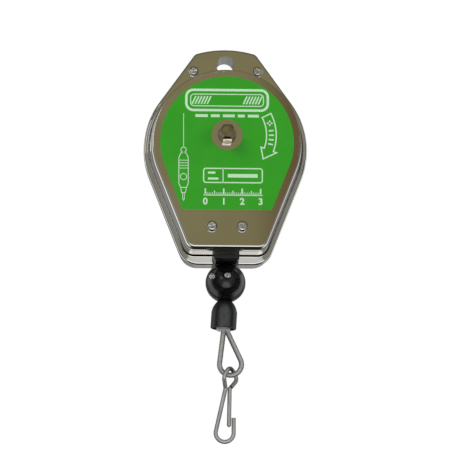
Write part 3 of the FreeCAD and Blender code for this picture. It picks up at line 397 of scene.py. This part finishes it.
# ------------------------------------------------------------------ print on the label
# Screen-printed pale green line work: an empty name field, ruled bars, a hanging tool, the
# arrow for winding the spring tighter, and a plain pull scale. The ink stands 0.04 mm proud.
ink_back, ink_front = -0.021158, -0.021200
shaft_height = -0.0478
bars_line, tool_line = -36.2, -26.0
scale_line, scale_start, scale_length, scale_steps = -84.6, -13.0, 33.0, 30
numeral_size, numeral_weight, numeral_foot = 0.0056, 0.00018, -0.0903


def ribbon(drawing, points, width, closed=False):
    """Adds a printed line of even width through points given in millimetres as (x, z)."""
    sharpest = 0.35
    path = [Vector(p) for p in points]
    count = len(path)
    rows = []
    for i, here in enumerate(path):
        before = path[(i - 1) % count] if closed or i else here
        after = path[(i + 1) % count] if closed or i < count - 1 else here
        ahead_in = (here - before).normalized() if here != before else (after - here).normalized()
        ahead_out = (after - here).normalized() if after != here else ahead_in
        along = (ahead_in + ahead_out).normalized()
        across = Vector((-along.y, along.x))
        reach = width / 2 / max(sharpest, across.dot(Vector((-ahead_in.y, ahead_in.x))))
        sides = [here + across * reach, here - across * reach]
        rows.append([drawing.verts.new((s.x / 1000, y, s.y / 1000))
                     for y in (ink_front, ink_back) for s in sides])
    for i in range(count if closed else count - 1):
        a, b = rows[i], rows[(i + 1) % count]
        for p, q in ((0, 1), (3, 2), (2, 0), (1, 3)):
            drawing.faces.new((a[p], b[p], b[q], a[q]))
    if not closed:
        drawing.faces.new((rows[0][0], rows[0][1], rows[0][3], rows[0][2]))
        drawing.faces.new((rows[-1][0], rows[-1][2], rows[-1][3], rows[-1][1]))


def bow(centre, radius, start, end, steps=24):
    """Points on an arc in degrees, for a ribbon."""
    turns = [math.radians(start + (end - start) * i / steps) for i in range(steps + 1)]
    return [(centre[0] + radius * math.cos(t), centre[1] + radius * math.sin(t)) for t in turns]


def rounded(x0, x1, z0, z1, radius):
    """Outline of a box with round corners."""
    corners = ((x1 - radius, z1 - radius, 0), (x0 + radius, z1 - radius, 90),
               (x0 + radius, z0 + radius, 180), (x1 - radius, z0 + radius, 270))
    return [p for x, z, turn in corners for p in bow((x, z), radius, turn, turn + 90, 8)]


def printed(name, drawing):
    """Makes a piece of print from its line work."""
    bmesh.ops.recalc_face_normals(drawing, faces=drawing.faces)
    mesh = bpy.data.meshes.new(name)
    drawing.to_mesh(mesh)
    drawing.free()
    mesh.materials.append(print_ink)
    piece = bpy.data.objects.new(name, mesh)
    scene.collection.objects.link(piece)
    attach(piece, "case")


print_ink, tree, shader, coords = finish("print_pale_green", (0.66, 0.95, 0.64), 0.42)
tree.links.new(ramp(tree, blotches(tree, coords, (1, 1, 1), 900.0, 3.0),
                    [(0.3, (0.58, 0.92, 0.56)), (0.65, (0.74, 0.97, 0.72))]),
               shader.inputs["Base Color"])
relief(tree, shader, [(blotches(tree, coords, (1, 1, 1), 3000.0), 0.00001, 0.3)])

drawing = bmesh.new()
ribbon(drawing, rounded(-24.4, 24.4, -32.8, -20.4, 4.2), 1.5, True)
ribbon(drawing, rounded(-21.8, 21.8, -30.2, -23.0, 2.0), 0.6, True)
for step in range(6):
    for side in (-1, 1):
        foot = side * (10.8 + 1.8 * step)
        ribbon(drawing, [(foot - 1.1, -29.0), (foot + 1.1, -24.2)], 0.85)
printed("print_name_field", drawing)

drawing = bmesh.new()
for start, end in ((-19.0, -11.5), (-9.7, -4.4), (-2.6, 4.6), (6.4, 10.6), (12.4, 19.0)):
    ribbon(drawing, [(start, bars_line), (end, bars_line)], 1.7)
printed("print_ruled_bars", drawing)

drawing = bmesh.new()
ribbon(drawing, [(tool_line, -34.8), (tool_line, -55.6)], 0.4)
ribbon(drawing, bow((tool_line, -57.2), 1.6, 0, 360, 20)[:-1], 0.45, True)
ribbon(drawing, [(-28.2, -60.4), (-27.2, -58.9), (-24.8, -58.9), (-23.8, -60.4), (-23.2, -62.2),
                 (-23.2, -77.6), (-24.2, -80.2), (-27.8, -80.2), (-28.8, -77.6), (-28.8, -62.2)],
       0.5, True)
for height in (-63.6, -65.2, -66.8, -68.4):
    ribbon(drawing, [(-28.6, height), (-23.4, height)], 0.4)
ribbon(drawing, bow((tool_line, -73.6), 1.9, 0, 360, 20)[:-1], 0.45, True)
ribbon(drawing, [(-24.4, -80.4), (-24.8, -83.4), (-27.2, -83.4), (-27.6, -80.4)], 0.45)
ribbon(drawing, [(-25.5, -83.6), (-25.5, -87.2), (tool_line, -88.0), (-26.5, -87.2),
                 (-26.5, -83.6)], 0.4)
printed("print_hanging_tool", drawing)

drawing = bmesh.new()
shaft_print = (0.0, shaft_height * 1000)
outer_edge, inner_edge = bow(shaft_print, 29.4, 27, -20), bow(shaft_print, 23.6, 27, -20)
head = [bow(shaft_print, r, a, a, 1)[0] for r, a in ((21.6, -20), (26.0, -34), (31.4, -20))]
ribbon(drawing, inner_edge + head + outer_edge[::-1], 0.75, True)
plus = bow(shaft_print, 26.5, 16, 16, 1)[0]
ribbon(drawing, [(plus[0] - 1.7, plus[1]), (plus[0] + 1.7, plus[1])], 0.95)
ribbon(drawing, [(plus[0], plus[1] - 1.7), (plus[0], plus[1] + 1.7)], 0.95)
for angle in (6, 0, -6, -12):
    ends = [bow(shaft_print, r, angle, angle, 1)[0] for r in (25.0, 28.0)]
    ribbon(drawing, ends, 0.9)
printed("print_winding_arrow", drawing)

drawing = bmesh.new()
ribbon(drawing, rounded(-14.0, 21.0, -77.0, -68.4, 1.4), 0.75, True)
ribbon(drawing, [(-2.4, -77.0), (-2.4, -68.4)], 0.6)
ribbon(drawing, [(-11.4, -74.6), (-5.2, -74.6)], 1.3)
ribbon(drawing, [(-11.4, -71.0), (-7.0, -71.0)], 1.3)
ribbon(drawing, [(0.4, -72.8), (18.2, -72.8)], 2.2)
ribbon(drawing, [(-14.0, scale_line), (21.0, scale_line)], 0.8)
for step in range(scale_steps + 1):
    x = scale_start + scale_length * step / scale_steps
    top, width = (-80.6, 0.9) if step % 10 == 0 else (-82.0, 0.6) if step % 5 == 0 else (-83.0, 0.4)
    ribbon(drawing, [(x, scale_line), (x, top)], width)
printed("print_pull_scale", drawing)

for step, digit in enumerate("0123"):
    numeral = bpy.data.curves.new("print_numeral_" + digit, "FONT")
    numeral.body = digit
    numeral.size = numeral_size
    numeral.offset = numeral_weight
    numeral.extrude = (ink_back - ink_front) / 2
    numeral.align_x = "CENTER"
    numeral.materials.append(print_ink)
    piece = bpy.data.objects.new("print_numeral_" + digit, numeral)
    piece.rotation_euler = (math.pi / 2, 0, 0)
    piece.location = ((scale_start + scale_length / 3 * step) / 1000, (ink_back + ink_front) / 2,
                      numeral_foot)
    scene.collection.objects.link(piece)
    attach(piece, "case")

# ------------------------------------------------------------------ bearings and bushes
# Sintered bronze: two flanged bearings pressed into the cover and the rear case, and two
# bushes pressed into the drum, all soaked with oil.
bronze, tree, shader, coords = finish("oiled_bronze", (0.42, 0.27, 0.12), 0.4, 1.0)
grain = tree.nodes.new("ShaderNodeTexVoronoi")
grain.inputs["Scale"].default_value = 2400.0
tree.links.new(coords, grain.inputs["Vector"])
tree.links.new(ramp(tree, blotches(tree, coords, (1, 1, 1), 500.0, 5.0),
                    [(0.3, (0.26, 0.16, 0.07)), (0.7, (0.52, 0.35, 0.17))]),
               shader.inputs["Base Color"])
tree.links.new(ramp(tree, grain.outputs["Distance"], [(0.1, 0.55), (0.6, 0.32)]),
               shader.inputs["Roughness"])
relief(tree, shader, [(grain.outputs["Distance"], 0.00003, 0.5)])
dress(bronze, "front_bearing", "rear_bearing", "drum_bush_front", "drum_bush_rear")

# ------------------------------------------------------------------ arbor
# Tension arbor, turned from bright steel with a milled hexagon at its front end for the
# winding key and a slot for the spring's inner end. A spring clip holds it at the rear.
arbor_bright, arbor_dull = (0.62, 0.55, 0.43), (0.42, 0.35, 0.26)
arbor_steel, tree, shader, coords = finish("arbor_steel", arbor_bright, 0.1, 1.0)
turned = blotches(tree, coords, (1.0, 45.0, 1.0), 120.0, 4.0)
stain = blotches(tree, coords, (1, 1, 1), 260.0, 5.0)
tree.links.new(ramp(tree, stain, [(0.3, arbor_dull), (0.6, arbor_bright)]),
               shader.inputs["Base Color"])
tree.links.new(ramp(tree, turned, [(0.3, 0.06), (0.75, 0.18)]), shader.inputs["Roughness"])
relief(tree, shader, [(turned, 0.00002, 0.45), (stain, 0.00002, 0.2)])
dress(arbor_steel, "arbor")

# ------------------------------------------------------------------ clip, ratchet and pawl
# Punched and hardened steel, oil-blackened: the arbor's clip, the ratchet wheel on the
# arbor's flats, and the pawl that holds the spring's tension.
blackened, tree, shader, coords = finish("oil_blackened_steel", (0.055, 0.052, 0.050), 0.32, 1.0)
scale_marks = blotches(tree, coords, (1, 1, 1), 420.0, 6.0, 0.6)
tree.links.new(ramp(tree, scale_marks, [(0.3, (0.030, 0.029, 0.030)), (0.55, (0.075, 0.070, 0.066)),
                                        (0.78, (0.26, 0.25, 0.24))]), shader.inputs["Base Color"])
tree.links.new(ramp(tree, scale_marks, [(0.3, 0.42), (0.75, 0.2)]), shader.inputs["Roughness"])
relief(tree, shader, [(scale_marks, 0.00002, 0.5)])
dress(blackened, "arbor_clip", "ratchet_wheel", "pawl")

# ------------------------------------------------------------------ pawl pins and pawl spring
# Two riveted pins of bright steel, and a torsion spring bent from patented wire that keeps
# the pawl in the ratchet's teeth.
pin_steel, tree, shader, coords = finish("drawn_pin_steel", (0.60, 0.60, 0.60), 0.25, 1.0)
drawn = blotches(tree, coords, (1.0, 12.0, 1.0), 700.0, 5.0)
tree.links.new(ramp(tree, drawn, [(0.3, (0.46, 0.46, 0.47)), (0.7, (0.72, 0.71, 0.69))]),
               shader.inputs["Base Color"])
tree.links.new(ramp(tree, drawn, [(0.3, 0.2), (0.7, 0.34)]), shader.inputs["Roughness"])
relief(tree, shader, [(drawn, 0.00001, 0.5)])
dress(pin_steel, "pawl_pins")
spring_node = frame["nodes"]["pawl_spring"]
sprung_leg = bpy.data.objects.new("pawl_spring_wire", spring_node.data.copy())
sprung_leg.matrix_world = spring_node.matrix_world.copy()
scene.collection.objects.link(sprung_leg)
sprung_leg.data.materials.clear()
sprung_leg.data.materials.append(pin_steel)
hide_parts("pawl_spring")
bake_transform(sprung_leg)

# ------------------------------------------------------------------ drum
# Injection-moulded drum of glass-filled nylon with a grooved rim for the rope, and its
# screwed cover over the spring room.
drum_nylon, tree, shader, coords = finish("glass_filled_nylon", (0.62, 0.60, 0.53), 0.5)
shader.inputs["Subsurface Weight"].default_value = 0.08
shader.inputs["Subsurface Radius"].default_value = (0.001, 0.001, 0.0008)
fibres = blotches(tree, coords, (1.0, 0.3, 1.0), 380.0, 6.0, 0.65)
tree.links.new(ramp(tree, fibres, [(0.3, (0.55, 0.53, 0.46)), (0.7, (0.68, 0.66, 0.59))]),
               shader.inputs["Base Color"])
tree.links.new(ramp(tree, fibres, [(0.3, 0.56), (0.7, 0.42)]), shader.inputs["Roughness"])
relief(tree, shader, [(fibres, 0.00003, 0.4)])
dress(drum_nylon, "drum", "spring_cover")

# ------------------------------------------------------------------ cover screws and rope anchor
# Small zinc-plated screws that close the spring room, and the swaged steel stop on the
# rope's inner end, seated in the drum's flange.
dress(screw_zinc, "spring_cover_screws")
dress(pin_steel, "rope_anchor")

# ------------------------------------------------------------------ mainspring
# A long strip of blue-tempered spring steel, coiled between the arbor and the drum's post
# and greased.
temper, tree, shader, coords = finish("tempered_strip", (0.16, 0.17, 0.20), 0.24, 1.0)
rolled = blotches(tree, coords, (1.0, 26.0, 1.0), 60.0, 4.0)
tree.links.new(ramp(tree, rolled, [(0.28, (0.09, 0.11, 0.17)), (0.5, (0.17, 0.17, 0.18)),
                                   (0.74, (0.27, 0.22, 0.15))]), shader.inputs["Base Color"])
tree.links.new(ramp(tree, blotches(tree, coords, (1, 1, 1), 150.0), [(0.3, 0.18), (0.7, 0.36)]),
               shader.inputs["Roughness"])
relief(tree, shader, [(rolled, 0.00001, 0.4)])
dress(temper, "mainspring")

# ------------------------------------------------------------------ rope on the drum
# Galvanised wire rope of 1.8 mm, wound on the drum in eight turns and led down to the guide.
# Its strands show as slanting ridges.
rope_bright, rope_valley_shade = (0.56, 0.55, 0.52), (0.10, 0.095, 0.085)
ridges_round, ridges_across = 110.0, 4200.0
wound_rope, tree, shader, coords = finish("wound_rope", rope_bright, 0.3, 1.0)
split = tree.nodes.new("ShaderNodeSeparateXYZ")
tree.links.new(coords, split.inputs["Vector"])
over_shaft = arithmetic(tree, "SUBTRACT", split.outputs["Z"], shaft_height)
round_drum = arithmetic(tree, "ARCTAN2", over_shaft, split.outputs["X"])
strand = arithmetic(tree, "SINE", arithmetic(
    tree, "ADD", arithmetic(tree, "MULTIPLY", round_drum, ridges_round),
    arithmetic(tree, "MULTIPLY", split.outputs["Y"], ridges_across)))
strand = arithmetic(tree, "MULTIPLY_ADD", strand, 0.5, 0.5)
# Painted shade: the valleys between the strands are darkened in the colour.
tree.links.new(ramp(tree, strand, [(0.1, rope_valley_shade), (0.55, rope_bright)]),
               shader.inputs["Base Color"])
relief(tree, shader, [(strand, 0.00012, 0.8),
                      (blotches(tree, coords, (1, 1, 1), 2500.0), 0.00002, 0.4)])
dress(wound_rope, "rope_winding")

# ------------------------------------------------------------------ rope from drum to cap
# The same rope where it runs straight: from the drum to the guide, and out of the guide through the
# ball into the cap. The rope lengthens there as it is drawn out, but this piece is built once at
# its resting length.
rope_radius, rope_lay, rope_strands = 0.0009, 0.0105, 6
wires_along, wires_round = -9000.0, 6.0
run_rope, tree, shader, coords = finish("running_rope", rope_bright, 0.28, 1.0)
split = tree.nodes.new("ShaderNodeSeparateXYZ")
tree.links.new(coords, split.inputs["Vector"])
turn = arithmetic(tree, "ARCTAN2", split.outputs["Y"], split.outputs["X"])
turns = arithmetic(tree, "MULTIPLY_ADD", split.outputs["Z"], 2 * math.pi / rope_lay, turn)
strand = arithmetic(tree, "ABSOLUTE", arithmetic(
    tree, "SINE", arithmetic(tree, "MULTIPLY", turns, rope_strands / 2)))
wires = arithmetic(tree, "SINE", arithmetic(tree, "MULTIPLY_ADD", split.outputs["Z"], wires_along,
                                            arithmetic(tree, "MULTIPLY", turn, wires_round)))
# Painted shade: the valleys between the strands are darkened in the colour.
tree.links.new(ramp(tree, strand, [(0.05, rope_valley_shade), (0.5, rope_bright)]),
               shader.inputs["Base Color"])
tree.links.new(ramp(tree, blotches(tree, coords, (1, 1, 1), 1200.0), [(0.3, 0.22), (0.7, 0.4)]),
               shader.inputs["Roughness"])
relief(tree, shader, [(strand, 0.00018, 0.9), (wires, 0.00002, 0.5)])
dress(run_rope, "rope_lead")


def rope_tube(name, line, radius, sides=20):
    """A round piece along points on a smooth line, closed at both ends."""
    tube = bmesh.new()
    rings = []
    side = Vector((0, 1, 0))
    for i, here in enumerate(line):
        along = (line[min(i + 1, len(line) - 1)] - line[max(i - 1, 0)]).normalized()
        side = (side - along * side.dot(along)).normalized()
        up = along.cross(side)
        rings.append([tube.verts.new(here + (side * math.cos(t) + up * math.sin(t)) * radius)
                      for t in [2 * math.pi * k / sides for k in range(sides)]])
    for a, b in zip(rings, rings[1:]):
        for k in range(sides):
            tube.faces.new((a[k], a[(k + 1) % sides], b[(k + 1) % sides], b[k]))
    tube.faces.new(rings[0][::-1])
    tube.faces.new(rings[-1])
    bmesh.ops.recalc_face_normals(tube, faces=tube.faces)
    mesh = bpy.data.meshes.new(name)
    tube.to_mesh(mesh)
    tube.free()
    mesh.shade_smooth()
    piece = bpy.data.objects.new(name, mesh)
    scene.collection.objects.link(piece)
    return piece


guide_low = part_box("rope_guide")[0].z
rope_top = guide_low + 0.0015
stretch_rows, stretch_row = 20, 0.00009
cap_lean, bend_length = math.radians(3.6), 0.002
run = [Vector((0, 0, rope_top - stretch_row * i)) for i in range(stretch_rows + 1)]
run += [Vector((0, 0, z / 1000)) for z in (-126.0, -130.0, -134.0, -138.0)]
knee = Vector((-0.0002 - math.sin(cap_lean) * bend_length, 0,
               -0.1436 - math.cos(cap_lean) * bend_length))
run += [Vector((-0.00003, 0, -0.1415)), Vector((-0.00012, 0, -0.1435)), knee]
run += [knee - Vector((math.sin(cap_lean), 0, math.cos(cap_lean))) * d
        for d in (0.002, 0.005, 0.0094)]
rope_run = rope_tube("rope_run", run, rope_radius)
rope_run.data.materials.append(run_rope)
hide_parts("rope_tail")
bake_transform(rope_run)

# ------------------------------------------------------------------ rope guide
# Moulded black nylon mouth, held between the two sheets by its lugs, with a ceramic ring
# pressed in where the rope rubs.
guide_black, tree, shader, coords = finish("moulded_guide_black", (0.008, 0.009, 0.010), 0.3)
shader.inputs["Specular IOR Level"].default_value = 0.55
flow = blotches(tree, coords, (1, 1, 1), 220.0, 5.0)
tree.links.new(ramp(tree, flow, [(0.35, (0.005, 0.006, 0.007)), (0.7, (0.018, 0.019, 0.020))]),
               shader.inputs["Base Color"])
tree.links.new(ramp(tree, blotches(tree, coords, (1, 1, 1), 600.0, 6.0),
                    [(0.3, 0.22), (0.7, 0.42)]), shader.inputs["Roughness"])
relief(tree, shader, [(blotches(tree, coords, (1, 1, 1), 1800.0, 3.0), 0.00002, 0.35)])
dress(guide_black, "rope_guide")
ceramic, tree, shader, coords = finish("fired_ceramic", (0.72, 0.70, 0.64), 0.14)
tree.links.new(ramp(tree, blotches(tree, coords, (1, 1, 1), 900.0, 5.0),
                    [(0.3, (0.66, 0.63, 0.56)), (0.7, (0.78, 0.76, 0.71))]),
               shader.inputs["Base Color"])
relief(tree, shader, [(blotches(tree, coords, (1, 1, 1), 2600.0), 0.00001, 0.3)])
dress(ceramic, "guide_insert")

# ------------------------------------------------------------------ stop ball
# Two moulded black halves clamped on the rope by two screws, which sit in deep seats. The
# ball stops against the guide when the tool is let go.
ball_black, tree, shader, coords = finish("gloss_ball_black", (0.004, 0.0045, 0.005), 0.14)
shader.inputs["Coat Weight"].default_value = 0.3
shader.inputs["Coat Roughness"].default_value = 0.08
scuffs = blotches(tree, coords, (1.0, 1.0, 3.0), 260.0, 7.0, 0.68)
tree.links.new(ramp(tree, scuffs, [(0.45, (0.003, 0.0035, 0.004)), (0.78, (0.020, 0.021, 0.022))]),
               shader.inputs["Base Color"])
tree.links.new(ramp(tree, scuffs, [(0.35, 0.13), (0.6, 0.2), (0.8, 0.45)]),
               shader.inputs["Roughness"])
relief(tree, shader, [(blotches(tree, coords, (1, 1, 1), 130.0, 2.0), 0.0001, 0.15),
                      (scuffs, 0.00001, 0.3)])
dress(ball_black, "stopper_ball_front", "stopper_ball_rear")
dress(screw_zinc, "stopper_screws")

# ------------------------------------------------------------------ cap
# Bell of black rubber pushed down over the ferrule, so that the hard end can't chip the
# ball or the guide.
cap_rubber, tree, shader, coords = finish("satin_cap_rubber", (0.020, 0.021, 0.022), 0.36)
bloom = blotches(tree, coords, (1, 1, 1), 340.0, 6.0, 0.6)


def shaded_flanks(tree, colour, flank_shade, low, high):
    """Keeps a colour on a round piece's front and back, and darkens its flanks with painted shade,
    as if lit from the front.
    """
    sides = tree.nodes.new("ShaderNodeSeparateXYZ")
    tree.links.new(tree.nodes.new("ShaderNodeTexCoord").outputs["Normal"], sides.inputs["Vector"])
    front_share = share(tree, arithmetic(tree, "ABSOLUTE", sides.outputs["Y"]), low, high)
    return mixed(tree, front_share, flank_shade, colour)


# Painted sheen and shade: the rubber is kept lighter grey on its front and back and darkened to
# near black on its flanks.
rubber_grey = ramp(tree, bloom, [(0.3, (0.040, 0.043, 0.043)), (0.75, (0.085, 0.090, 0.088))])
tree.links.new(shaded_flanks(tree, rubber_grey, (0.009, 0.010, 0.011), 0.80, 1.0),
               shader.inputs["Base Color"])
tree.links.new(ramp(tree, bloom, [(0.3, 0.32), (0.7, 0.5)]), shader.inputs["Roughness"])
relief(tree, shader, [(blotches(tree, coords, (1, 1, 1), 1500.0, 4.0), 0.00003, 0.35)])
dress(cap_rubber, "rope_cap")

# ------------------------------------------------------------------ ferrule
# Nickel-plated sleeve, crimped flat over the rope's two legs where they leave the eye. Its
# end stands just outside the cap.
ferrule_nickel, tree, shader, coords = finish("crimped_nickel", (0.88, 0.88, 0.86), 0.25, 0.35)
crimp = blotches(tree, coords, (1, 1, 0.3), 900.0, 5.0)
tree.links.new(ramp(tree, crimp, [(0.3, (0.70, 0.70, 0.68)), (0.65, (0.92, 0.92, 0.90))]),
               shader.inputs["Base Color"])
tree.links.new(ramp(tree, crimp, [(0.3, 0.32), (0.7, 0.15)]), shader.inputs["Roughness"])
relief(tree, shader, [(crimp, 0.00003, 0.6)])
dress(ferrule_nickel, "rope_ferrule")

# ------------------------------------------------------------------ thimble
# Teardrop channel pressed from stainless strip, which keeps the rope's eye round. The rope
# lies in the channel, and the snap hook's eye hangs inside it.
thimble_steel, tree, shader, coords = finish("pressed_stainless", (0.64, 0.64, 0.62), 0.28, 0.55)
pressed = blotches(tree, coords, (1, 1, 1), 480.0, 6.0, 0.6)
pressed_tone = ramp(tree, pressed, [(0.3, (0.50, 0.50, 0.49)), (0.65, (0.76, 0.76, 0.74))])
# Painted shade: the channel's flanks are darkened and its front and back kept bright, so that it
# reads as round and lit from the front.
tree.links.new(shaded_flanks(tree, pressed_tone, (0.05, 0.05, 0.048), 0.40, 0.97),
               shader.inputs["Base Color"])
tree.links.new(ramp(tree, pressed, [(0.3, 0.36), (0.7, 0.2)]), shader.inputs["Roughness"])
relief(tree, shader, [(pressed, 0.00003, 0.5)])
dress(thimble_steel, "thimble")

# ------------------------------------------------------------------ rope eye
# The rope laid round the thimble: six strands twisted about a core, both legs going up
# into the ferrule. It is a fixed loop, held by the thimble's channel.
eye_centre, eye_radius, eye_lean = Vector((0.0030, 0, -0.1832)), 0.00725, math.radians(9.0)
eye_up = Vector((-math.sin(eye_lean), 0, math.cos(eye_lean)))
eye_height, eye_spread, below_ferrule = 0.0251, 0.0069, 0.0032
eye_half = math.asin(eye_spread / eye_height)
eye_line = bpy.data.curves.new("eye_line", "CURVE")
eye_line.dimensions = "3D"
eye_line.resolution_u = 40
spline = eye_line.splines.new("BEZIER")
spline.bezier_points.add(5)
sweep = math.pi + 2 * eye_half
pull = 4 / 3 * math.tan(sweep / 12) * eye_radius
lean_of = math.atan2(eye_up.z, eye_up.x)
arc_turns = [lean_of + math.pi / 2 - eye_half + sweep * i / 3 for i in range(4)]
arc_points = [(eye_centre + Vector((math.cos(t), 0, math.sin(t))) * eye_radius,
               Vector((-math.sin(t), 0, math.cos(t)))) for t in arc_turns]
leg = eye_height * math.cos(eye_half) - below_ferrule
ends = [(arc_points[0][0] - arc_points[0][1] * leg, arc_points[0][1]),
        (arc_points[3][0] + arc_points[3][1] * leg, arc_points[3][1])]
for knot, (here, along), back, ahead_pull in zip(
        spline.bezier_points, [ends[0]] + arc_points + [ends[1]],
        (leg / 3, leg / 3, pull, pull, pull, leg / 3),
        (leg / 3, pull, pull, pull, leg / 3, leg / 3)):
    knot.co = here
    knot.handle_left_type = knot.handle_right_type = "FREE"
    knot.handle_left = here - along * back
    knot.handle_right = here + along * ahead_pull
eye_guide = bpy.data.objects.new("eye_line", eye_line)
eye_mesh = bpy.data.meshes.new_from_object(eye_guide)
eye_path = [v.co.copy() for v in eye_mesh.vertices]
bpy.data.objects.remove(eye_guide)
bpy.data.meshes.remove(eye_mesh)


def laid_strands(name, line, radius, strands, lay, sides=8):
    """A rope as separate twisted strands round a core, following a line in the XZ plane."""
    rope = bmesh.new()
    strand_radius = radius / 3.0
    offset, overlap = radius - strand_radius, 1.04
    lengths = [0.0]
    for a, b in zip(line, line[1:]):
        lengths.append(lengths[-1] + (b - a).length)
    for strand_index in range(strands + 1):
        rings = []
        for i, here in enumerate(line):
            along = (line[min(i + 1, len(line) - 1)] - line[max(i - 1, 0)]).normalized()
            side = Vector((0, 1, 0))
            up = along.cross(side)
            twist = 2 * math.pi * (lengths[i] / lay + strand_index / strands)
            out = side * math.cos(twist) + up * math.sin(twist)
            centre = here + out * offset if strand_index < strands else here
            across = along.cross(out)
            around = [out * math.cos(t) + across * math.sin(t)
                      for t in [2 * math.pi * k / sides for k in range(sides)]]
            rings.append([rope.verts.new(centre + way * strand_radius * overlap) for way in around])
        for a, b in zip(rings, rings[1:]):
            for k in range(sides):
                rope.faces.new((a[k], a[(k + 1) % sides], b[(k + 1) % sides], b[k]))
        rope.faces.new(rings[0][::-1])
        rope.faces.new(rings[-1])
    bmesh.ops.recalc_face_normals(rope, faces=rope.faces)
    mesh = bpy.data.meshes.new(name)
    rope.to_mesh(mesh)
    rope.free()
    mesh.shade_smooth()
    piece = bpy.data.objects.new(name, mesh)
    scene.collection.objects.link(piece)
    return piece


eye_rope = laid_strands("rope_eye_strands", eye_path, rope_radius, rope_strands, rope_lay)
strand_steel, tree, shader, coords = finish("stranded_stainless", (0.60, 0.60, 0.58), 0.3, 0.5)
hair = blotches(tree, coords, (1, 1, 1), 2200.0, 4.0)
strand_bright = ramp(tree, hair, [(0.3, (0.40, 0.40, 0.39)), (0.65, (0.76, 0.76, 0.74))])
# Painted shade: the strands' flanks are darkened and their front and back kept bright, as if lit
# from the front.
tree.links.new(shaded_flanks(tree, strand_bright, (0.04, 0.04, 0.038), 0.45, 0.98),
               shader.inputs["Base Color"])
tree.links.new(ramp(tree, hair, [(0.3, 0.36), (0.7, 0.22)]), shader.inputs["Roughness"])
relief(tree, shader, [(hair, 0.00003, 0.6)])
eye_rope.data.materials.append(strand_steel)
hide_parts("rope_eye")
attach(eye_rope, "rope_end")

# ------------------------------------------------------------------ snap hook and its gate
# Spring-hard stainless wire of 2.5 mm, bent to an eye, a pinched neck and a bow. The gate
# stands for the wire's free end, which springs against the inside of the tip.
hook_bright, hook_dull = (0.72, 0.72, 0.70), (0.50, 0.50, 0.49)
hook_wire, tree, shader, coords = finish("drawn_hook_wire", hook_bright, 0.3, 0.5)
drawn = blotches(tree, coords, (1.0, 1.0, 0.10), 900.0, 5.0, 0.6)
drawn_bright = ramp(tree, drawn, [(0.32, hook_dull), (0.62, hook_bright)])
# Painted shade: the wire's flanks are darkened and its front and back kept bright, as if lit from
# the front.
tree.links.new(shaded_flanks(tree, drawn_bright, (0.05, 0.05, 0.048), 0.40, 1.0),
               shader.inputs["Base Color"])
tree.links.new(ramp(tree, blotches(tree, coords, (1, 1, 1), 700.0), [(0.3, 0.18), (0.7, 0.36)]),
               shader.inputs["Roughness"])
relief(tree, shader, [(drawn, 0.00001, 0.3)])
dress(hook_wire, "snap_hook", "hook_gate")
